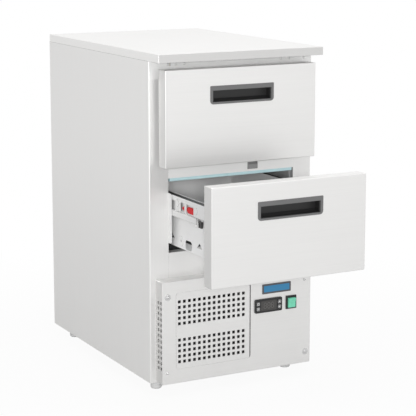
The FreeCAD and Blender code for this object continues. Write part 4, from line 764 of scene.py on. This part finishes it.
class FRIDGE_OT_moulded_parts(bpy.types.Operator):
    """Gives the plastic and rubber parts their colours and grain"""
    bl_idname = "fridge.moulded_parts"
    bl_label = "Moulded parts"

    def execute(self, context):
        parts = context.scene.fridge_moulded
        rim, cup_depth, nose = 0.0015, 0.008, 0.014
        # Each handle's cup gets painted shade that deepens behind its rim.
        for handle in both("handle"):
            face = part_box(handle)[0].y + rim
            dress(cup_plastic(handle + "_plastic", parts.handle, face, cup_depth), handle)
        for ends in both("slide_ends"):
            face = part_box(ends)[0].y + nose
            dress(two_moulded(ends + "_plastic", (0.05, 0.05, 0.05), parts.pale, face), ends)
        dress(moulded("housing_plastic", parts.housing, 0.42), "thermostat_housing", "switch_housing",
              "cord_gland", "condenser_fan_blade", "evaporator_fan_blade")
        # The feet are white plastic, made paler than the other pale plastic as painted light for the shade
        # under the body.
        dress(moulded("foot_plastic", (0.97, 0.97, 0.96), 0.4), *four("foot", "front", "back"))
        dress(moulded("catch_plastic", (0.30, 0.30, 0.30), 0.5), "rail_catch")
        dress(moulded("guide_plastic", parts.pale, 0.36), "slide_front_guides")
        dress(moulded("strip_plastic", parts.strip, 0.34), "cross_rail_strip")
        dress(moulded("lever_plastic", parts.lever, 0.55), *both("left_lever", "right_lever"))
        dress(moulded("key_plastic", (0.06, 0.06, 0.062), 0.4), *four("key", "upper", "lower"))
        dress(glowing("rocker_plastic", parts.rocker, 0.25), "switch_rocker")
        dress(smoked_window("display_window", (0.05, 0.048, 0.046)), "thermostat_window")
        dress(moulded("badge_plate_paint", parts.plate, 0.3, 0.3), "badge_plate")
        dress(seal_rubber("seal_rubber", (0.40, 0.40, 0.41)), *both("gasket"))
        dress(moulded("core_plastic", (0.60, 0.60, 0.60), 0.5), *both("front_core"))
        dress(foam_filling("foam_filling", (0.80, 0.70, 0.45)), "insulation")
        return {"FINISHED"}


class FRIDGE_OT_machinery(bpy.types.Operator):
    """Paints the machinery under the deck and dresses the coils"""
    bl_idname = "fridge.machinery"
    bl_label = "Machinery"

    def execute(self, context):
        dress(painted("compressor_paint", (0.018, 0.018, 0.020)), "compressor")
        dress(painted("mount_paint", (0.03, 0.03, 0.032), 0.45), "condenser_fan_mount")
        dress(copper_tube("copper_tube", (0.80, 0.42, 0.28)), "refrigerant_pipes")
        dress(finned("evaporator_aluminium", (0.62, 0.63, 0.65), (30, 30, 8)), "evaporator_coil")
        # Painted shade: the condenser's coil is near black, so the grille's holes show only dark behind
        # them.
        dress(finned("condenser_aluminium", (0.10, 0.10, 0.105), (30, 30, 8)), "condenser_coil")
        return {"FINISHED"}


class FRIDGE_OT_fin_packs(bpy.types.Operator):
    """Puts the closely spaced fins on the condenser and on the evaporator"""
    bl_idname = "fridge.fin_packs"
    bl_label = "Fin packs"

    def execute(self, context):
        details = context.scene.fridge_details
        # Painted shade: the condenser's fins are near black, for the dark space behind the grille.
        colors = {"condenser_coil": (0.09, 0.09, 0.095), "evaporator_coil": (0.62, 0.63, 0.65)}
        bend, inset = 0.010, 0.0006
        pitch = details.fin_pitch
        grower = fin_tree()
        for name, color in colors.items():
            bare = finned(name + "_fin_finish", color, (40, 40, 10))
            low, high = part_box(name)
            centre = (low + high) / 2
            size = high - low
            count = int((size.x - 2 * bend) / pitch)
            plate = (details.fin_thickness, size.y - 2 * inset, size.z - 2 * inset)
            values = {"Fins": count, "First": (low.x + bend + pitch / 2, centre.y, centre.z),
                      "Pitch": (pitch, 0, 0), "Plate": plate}
            grown_piece(name + "_fins", grower, values, bare, "cabinet")
        return {"FINISHED"}


class FRIDGE_OT_screws(bpy.types.Operator):
    """Puts a flanged head with a cross recess on each screw of the service cover"""
    bl_idname = "fridge.screws"
    bl_label = "Screws"

    def execute(self, context):
        details = context.scene.fridge_details
        polish = satin_steel("screw_steel", (0.72, 0.72, 0.72), "x", roughness=0.28)
        low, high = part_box("cover_screws")
        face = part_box("service_cover")[0].y
        inset, head_height = 0.0065, 0.0031
        top, bottom = high.z - inset, low.z + inset
        left, right = low.x + inset + 0.0015, high.x - inset
        flanged = [(left, top), (right, bottom)]
        small = [(left - 0.002, bottom), (right - 0.004, top)]
        sets = (("cover_screw_heads", 0.0052, details.screw_flange, 1.0, flanged),
                ("cover_small_heads", 0.0032, 0.0036, 0.7, small))
        for name, radius, flange, recess, places in sets:
            template = screw_template(radius, flange, head_height, details.recess_width * recess)
            places = [(x, face, z) for x, z in places]
            heads = scattered(name, template, places, polish)
            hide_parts("cover_screws")
        return {"FINISHED"}


class FRIDGE_OT_rail_plugs(bpy.types.Operator):
    """Closes the fixing holes in the top rail with domed plugs"""
    bl_idname = "fridge.rail_plugs"
    bl_label = "Rail plugs"

    def execute(self, context):
        radius = context.scene.fridge_details.plug_radius
        pale = moulded("plug_plastic", context.scene.fridge_moulded.pale, 0.3, 0.3)
        low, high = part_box("top_rail")
        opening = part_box("left_side_panel")[1].x
        drop, recess_shade, shank, dome = 0.0095, 0.0004, 0.002, 0.0011
        across = [opening + step for step in (0, 0.021, 0.044)]
        across += [-opening - step for step in (0.014, 0.038, -0.028)]
        places = [(x, low.y + recess_shade, high.z - drop) for x in across]
        outline = [(0, shank), (radius, shank)] + dome_outline(radius, dome)
        template = link("plug_template", mesh_from("plug", turned, outline))
        scattered("rail_plugs", template, places, pale)
        return {"FINISHED"}


class FRIDGE_OT_seals(bpy.types.Operator):
    """Makes each drawer's magnetic seal: a foot, pleats and a magnet strip, mitred at its corners"""
    bl_idname = "fridge.seals"
    bl_label = "Magnetic seals"

    def execute(self, context):
        rubber = bpy.data.materials["seal_rubber"]
        pleats = context.scene.fridge_details.seal_pleats
        seal_width = 0.014
        for gasket in both("gasket"):
            low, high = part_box(gasket)
            section = self.section(pleats, seal_width, high.y - low.y)
            name = gasket.replace("gasket", "magnetic_seal")
            mesh = mesh_from(name, self.mitred, section, low, high)
            seal = finished_mesh(name, mesh, rubber, gasket.replace("gasket", "drawer"))
            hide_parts(gasket)
        return {"FINISHED"}

    def mitred(self, work, section, low, high):
        """The section led round a drawer's front, whose corners are cut at 45 degrees."""
        loops = []
        for side_x, side_z in CORNERS:
            corner_x = low.x if side_x < 0 else high.x
            corner_z = low.z if side_z < 0 else high.z
            loops.append([work.verts.new((corner_x - side_x * inset, low.y + depth,
                                          corner_z - side_z * inset)) for inset, depth in section])
        skin(work, loops)

    def section(self, pleats, width, depth):
        """The seal cut across, from its outer side round to its inner side."""
        foot, magnet = depth * 0.14, depth * 0.30
        edge, waist = width * 0.04, width * 0.22
        pleat = (depth - foot - magnet) / (pleats + 1)
        side = [(edge * 2, 0), (edge * 2, foot)]
        for index in range(pleats):
            start = foot + pleat * (index + 0.5)
            side += [(waist, start), (edge * 3, start + pleat / 2)]
        side += [(waist, depth - magnet - pleat * 0.4), (edge, depth - magnet)]
        side += [(edge, depth - edge), (edge * 3, depth)]
        return side + [(width - inset, y) for inset, y in reversed(side)]


class FRIDGE_OT_foot_threads(bpy.types.Operator):
    """Winds a thread round the stud of each foot"""
    bl_idname = "fridge.foot_threads"
    bl_label = "Foot threads"

    def execute(self, context):
        details = context.scene.fridge_details
        plated = satin_steel("thread_steel", (0.62, 0.62, 0.62), "z", roughness=0.3, metal=1.0)
        stud_foot, end_gap = 0.031, 0.001
        grower = thread_tree()
        for name in four("foot", "front", "back"):
            low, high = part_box(name)
            centre = (low + high) / 2
            start = low.z + stud_foot
            height = high.z - end_gap - start
            values = {"Turns": height / details.thread_pitch, "Radius": 0.00485, "Height": height,
                      "Ridge": 0.0004, "Foot": (centre.x, centre.y, start)}
            grown_piece(name + "_ridge", grower, values, plated, name)
        return {"FINISHED"}


class FRIDGE_OT_slide_balls(bpy.types.Operator):
    """Puts rows of steel balls between the rails of each slide"""
    bl_idname = "fridge.slide_balls"
    bl_label = "Slide balls"

    def execute(self, context):
        details = context.scene.fridge_details
        polish = satin_steel("ball_steel", (0.70, 0.70, 0.70), "y", 0.16)
        side_inset, row_inset, end_gap = 0.0057, 0.0055, 0.02
        grower = ball_tree()
        for level in ("lower", "upper"):
            low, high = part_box(level + "_middle_rails")
            ends = []
            for reach in (side_inset - high.x, high.x - side_inset):
                for height in (low.z + row_inset, high.z - row_inset):
                    ends += [(reach, low.y + end_gap, height), (reach, high.y - end_gap, height)]
            lines = [(end, end + 1) for end in range(0, len(ends), 2)]
            values = {"Spacing": details.ball_spacing, "Radius": details.ball_radius}
            grown_piece(level + "_slide_balls", grower, values, polish, level + "_middle",
                        plain_mesh(level + "_ball_lines", ends, lines))
        return {"FINISHED"}


class FRIDGE_OT_display(bpy.types.Operator):
    """Puts unlit digits of seven bars each on the thermostat's window"""
    bl_idname = "fridge.display"
    bl_label = "Display"

    def execute(self, context):
        digits = context.scene.fridge_details.display_digits
        unlit = glowing("display_bars", (0.11, 0.105, 0.10), 0.0, 0.4)
        mesh = mesh_from("display_bars", self.bars, digits, *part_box("thermostat_window"))
        finished_mesh("display_bars", mesh, unlit, "cabinet")
        return {"FINISHED"}

    def bars(self, work, digits, low, high):
        """Digits side by side in the middle of the window, each of three lying and four upright bars."""
        centre = (low + high) / 2
        tall = (high.z - low.z) * 0.56
        wide = tall * 0.5
        pitch = wide * 1.5
        for digit in range(digits):
            middle = centre.x + (digit - (digits - 1) / 2) * pitch
            outlines = [self.bar_outline(middle, centre.z + row * tall / 2, wide / 2, False)
                        for row in (-1, 0, 1)]
            for x in (middle - wide / 2, middle + wide / 2):
                outlines += [self.bar_outline(x, centre.z + row * tall / 4, tall / 4, True)
                             for row in (-1, 1)]
            for outline in outlines:
                slab(work, outline, low.y - 0.00012, low.y + PRINT_DEPTH)

    def bar_outline(self, x, z, reach, upright):
        """A bar with pointed ends, lying or upright."""
        half = 0.0009
        reach = reach - half * 0.6
        points = [(-reach, 0), (half - reach, half), (reach - half, half), (reach, 0),
                  (reach - half, -half), (half - reach, -half)]
        return [(x + up, z + along) if upright else (x + along, z + up) for along, up in points]


class FRIDGE_OT_key_marks(bpy.types.Operator):
    """Prints a plain mark and a thin frame on each key"""
    bl_idname = "fridge.key_marks"
    bl_label = "Key marks"

    def execute(self, context):
        ink = moulded("key_ink", (0.92, 0.92, 0.92), 0.5)
        marks = (self.ring, self.two_bars, self.arrow(1), self.arrow(-1))
        for name, mark in zip(four("key", "upper", "lower"), marks):
            mesh = mesh_from(name + "_mark", self.printed, mark, *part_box(name))
            finished_mesh(name + "_mark", mesh, ink, name)
        return {"FINISHED"}

    def printed(self, work, mark, low, high):
        """A frame near the key's edge, with its mark in the middle."""
        centre = ((low.x + high.x) / 2, (low.z + high.z) / 2)
        half = (high.x - low.x) / 2
        front, back = low.y - 0.0001, low.y + PRINT_DEPTH
        outer, inner = [rounded_outline(centre, half - inset, half - inset, corner)
                        for inset, corner in ((0.0006, 0.0012), (0.0011, 0.0009))]
        ring_slab(work, outer, inner, front, back)
        mark(work, centre, front, back)

    def ring(self, work, centre, front, back):
        ring_slab(work, round_outline(centre, 0.0027), round_outline(centre, 0.0017), front, back)

    def two_bars(self, work, centre, front, back):
        half_width, half_height, corner = 0.0026, 0.0007, 0.0005
        for rise in (-0.0013, 0.0013):
            middle = (centre[0], centre[1] + rise)
            slab(work, rounded_outline(middle, half_width, half_height, corner), front, back)

    def arrow(self, way):
        """What prints an arrow that points up for 1 and down for -1."""
        def mark(work, centre, front, back):
            slab(work, round_outline(centre, 0.003, 3, way * math.pi / 2), front, back)
        return mark


class FRIDGE_OT_badge_field(bpy.types.Operator):
    """Puts a bare coloured field on the plate over the controls"""
    bl_idname = "fridge.badge_field"
    bl_label = "Badge field"

    def execute(self, context):
        blue = moulded("badge_field_paint", context.scene.fridge_moulded.badge, 0.3, 0.4)
        low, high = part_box("badge_plate")
        border, corner = 0.0045, 0.0015
        centre = ((low.x + high.x) / 2, (low.z + high.z) / 2)
        half_width, half_height = (high.x - low.x) / 2 - border, (high.z - low.z) / 2 - border
        outline = rounded_outline(centre, half_width, half_height, corner)
        mesh = mesh_from("badge_field", slab, outline, low.y - 0.0003, low.y + PRINT_DEPTH)
        finished_mesh("badge_field", mesh, blue, "cabinet")
        return {"FINISHED"}


class FRIDGE_OT_stage(bpy.types.Operator):
    """Puts the fridge on a pale floor under soft studio light and looks at it as the photograph does"""
    bl_idname = "fridge.stage"
    bl_label = "Stage"

    def execute(self, context):
        scene = context.scene
        settings = scene.fridge_stage
        self.make_floor(settings)
        self.make_world(scene, settings)
        self.add_lamp("key", (-1.76, -3.36, 1.16), 0.4, settings.key_power)
        self.add_lamp("overhead", (-0.2, -0.7, 3.6), 2.0, settings.top_power)
        self.make_camera(scene, settings)
        scene.view_settings.view_transform = "Standard"
        return {"FINISHED"}

    def seen(self, finish, *kinds):
        """1 for the kinds of ray that are named, and 0 for the others."""
        rays = [finish.make("ShaderNodeLightPath", {}, {}, "Is %s Ray" % kind) for kind in kinds]
        return sum(rays[1:], rays[0]).clamped()

    def make_floor(self, settings):
        """A floor that catches the shadow and fades into the white background with the distance."""
        floor = link("floor", mesh_from("floor", lambda work: bmesh.ops.create_grid(work, size=14)))
        finish = Finish("pale_floor")
        tone = finish.tint(settings.floor, finish.noise(scale=1.5, detail=2), 0.99, 1.01)
        lit = finish.make("ShaderNodeBsdfDiffuse", {}, {"Color": tone})
        white = finish.make("ShaderNodeEmission", {}, {"Color": (1, 1, 1, 1), "Strength": 1.0})
        sockets = {0: finish.place()}
        distance = finish.make("ShaderNodeVectorMath", {"operation": "LENGTH"}, sockets, "Value")
        straight = self.seen(finish, "Camera", "Transmission") * (0.93 + 0.05 * distance).clamped()
        mirrored = self.seen(finish, "Glossy") * (0.45 + 0.16 * distance).clamped()
        share = (straight + mirrored).clamped()
        finish.finish(finish.make("ShaderNodeMixShader", {}, {0: share, 1: lit, 2: white}))
        floor.data.materials.append(finish.owner)

    def make_world(self, scene, settings):
        """A white background, and an even light all round whose strength doesn't change it."""
        finish = Finish("studio", world=True)
        scene.world = finish.owner
        lights = [{"Color": (1, 1, 1, 1), "Strength": strength} for strength in (settings.fill, 1.0)]
        fill, white = [finish.make("ShaderNodeBackground", {}, light) for light in lights]
        share = self.seen(finish, "Camera", "Glossy", "Transmission")
        finish.finish(finish.make("ShaderNodeMixShader", {}, {0: share, 1: fill, 2: white}))

    def add_lamp(self, name, place, size, power):
        """A soft square lamp that points at the middle of the cabinet."""
        lamp = bpy.data.lights.new(name, "AREA")
        lamp.size = size
        lamp.energy = power
        holder = link(name, lamp)
        holder.location = place
        aim = Vector((0, 0, 0.45)) - Vector(place)
        holder.rotation_euler = aim.to_track_quat("-Z", "Y").to_euler()

    def make_camera(self, scene, settings):
        """The photograph's camera, whose frame lies 40 of its 416 pixels below the middle of the lens."""
        down, turned_right = math.radians(9.819), math.radians(28.091)
        camera = bpy.data.cameras.new("camera")
        camera.lens = settings.lens
        camera.sensor_width = 36
        camera.shift_y = -40 / 416
        camera.clip_end = 60
        holder = link("camera", camera)
        holder.location = (-1.7269, -3.27845, 1.1594)
        holder.rotation_euler = (math.pi / 2 - down, 0, -turned_right)
        scene.camera = holder


class FRIDGE_PT_panel(bpy.types.Panel):
    bl_label = "Fridge"
    bl_idname = "FRIDGE_PT_panel"
    bl_space_type = "VIEW_3D"
    bl_region_type = "UI"
    bl_category = "Fridge"

    def draw(self, context):
        for operator in OPERATORS:
            self.layout.operator(operator.bl_idname)
        for group in GROUPS:
            box = self.layout.box()
            settings = getattr(context.scene, group)
            for name in settings.bl_rna.properties.keys():
                if name not in ("rna_type", "name"):
                    box.prop(settings, name)


OPERATORS = (FRIDGE_OT_sheet_steel, FRIDGE_OT_moulded_parts, FRIDGE_OT_machinery, FRIDGE_OT_fin_packs,
             FRIDGE_OT_screws, FRIDGE_OT_rail_plugs, FRIDGE_OT_seals, FRIDGE_OT_foot_threads,
             FRIDGE_OT_slide_balls, FRIDGE_OT_display, FRIDGE_OT_key_marks, FRIDGE_OT_badge_field,
             FRIDGE_OT_stage)
GROUPS = {"fridge_steel": SteelSettings, "fridge_moulded": MouldedSettings,
          "fridge_details": DetailSettings, "fridge_stage": StageSettings}


def register():
    for name, group in GROUPS.items():
        bpy.utils.register_class(group)
        setattr(bpy.types.Scene, name, bpy.props.PointerProperty(type=group))
    for operator in OPERATORS:
        bpy.utils.register_class(operator)
    bpy.utils.register_class(FRIDGE_PT_panel)


def unregister():
    bpy.utils.unregister_class(FRIDGE_PT_panel)
    for operator in reversed(OPERATORS):
        bpy.utils.unregister_class(operator)
    for name, group in GROUPS.items():
        delattr(bpy.types.Scene, name)
        bpy.utils.unregister_class(group)


def main():
    register()
    bpy.ops.fridge.sheet_steel()
    bpy.ops.fridge.moulded_parts()
    bpy.ops.fridge.machinery()
    bpy.ops.fridge.fin_packs()
    bpy.ops.fridge.screws()
    bpy.ops.fridge.rail_plugs()
    bpy.ops.fridge.seals()
    bpy.ops.fridge.foot_threads()
    bpy.ops.fridge.slide_balls()
    bpy.ops.fridge.display()
    bpy.ops.fridge.key_marks()
    bpy.ops.fridge.badge_field()
    bpy.ops.fridge.stage()


if __name__ == "__main__":
    main()
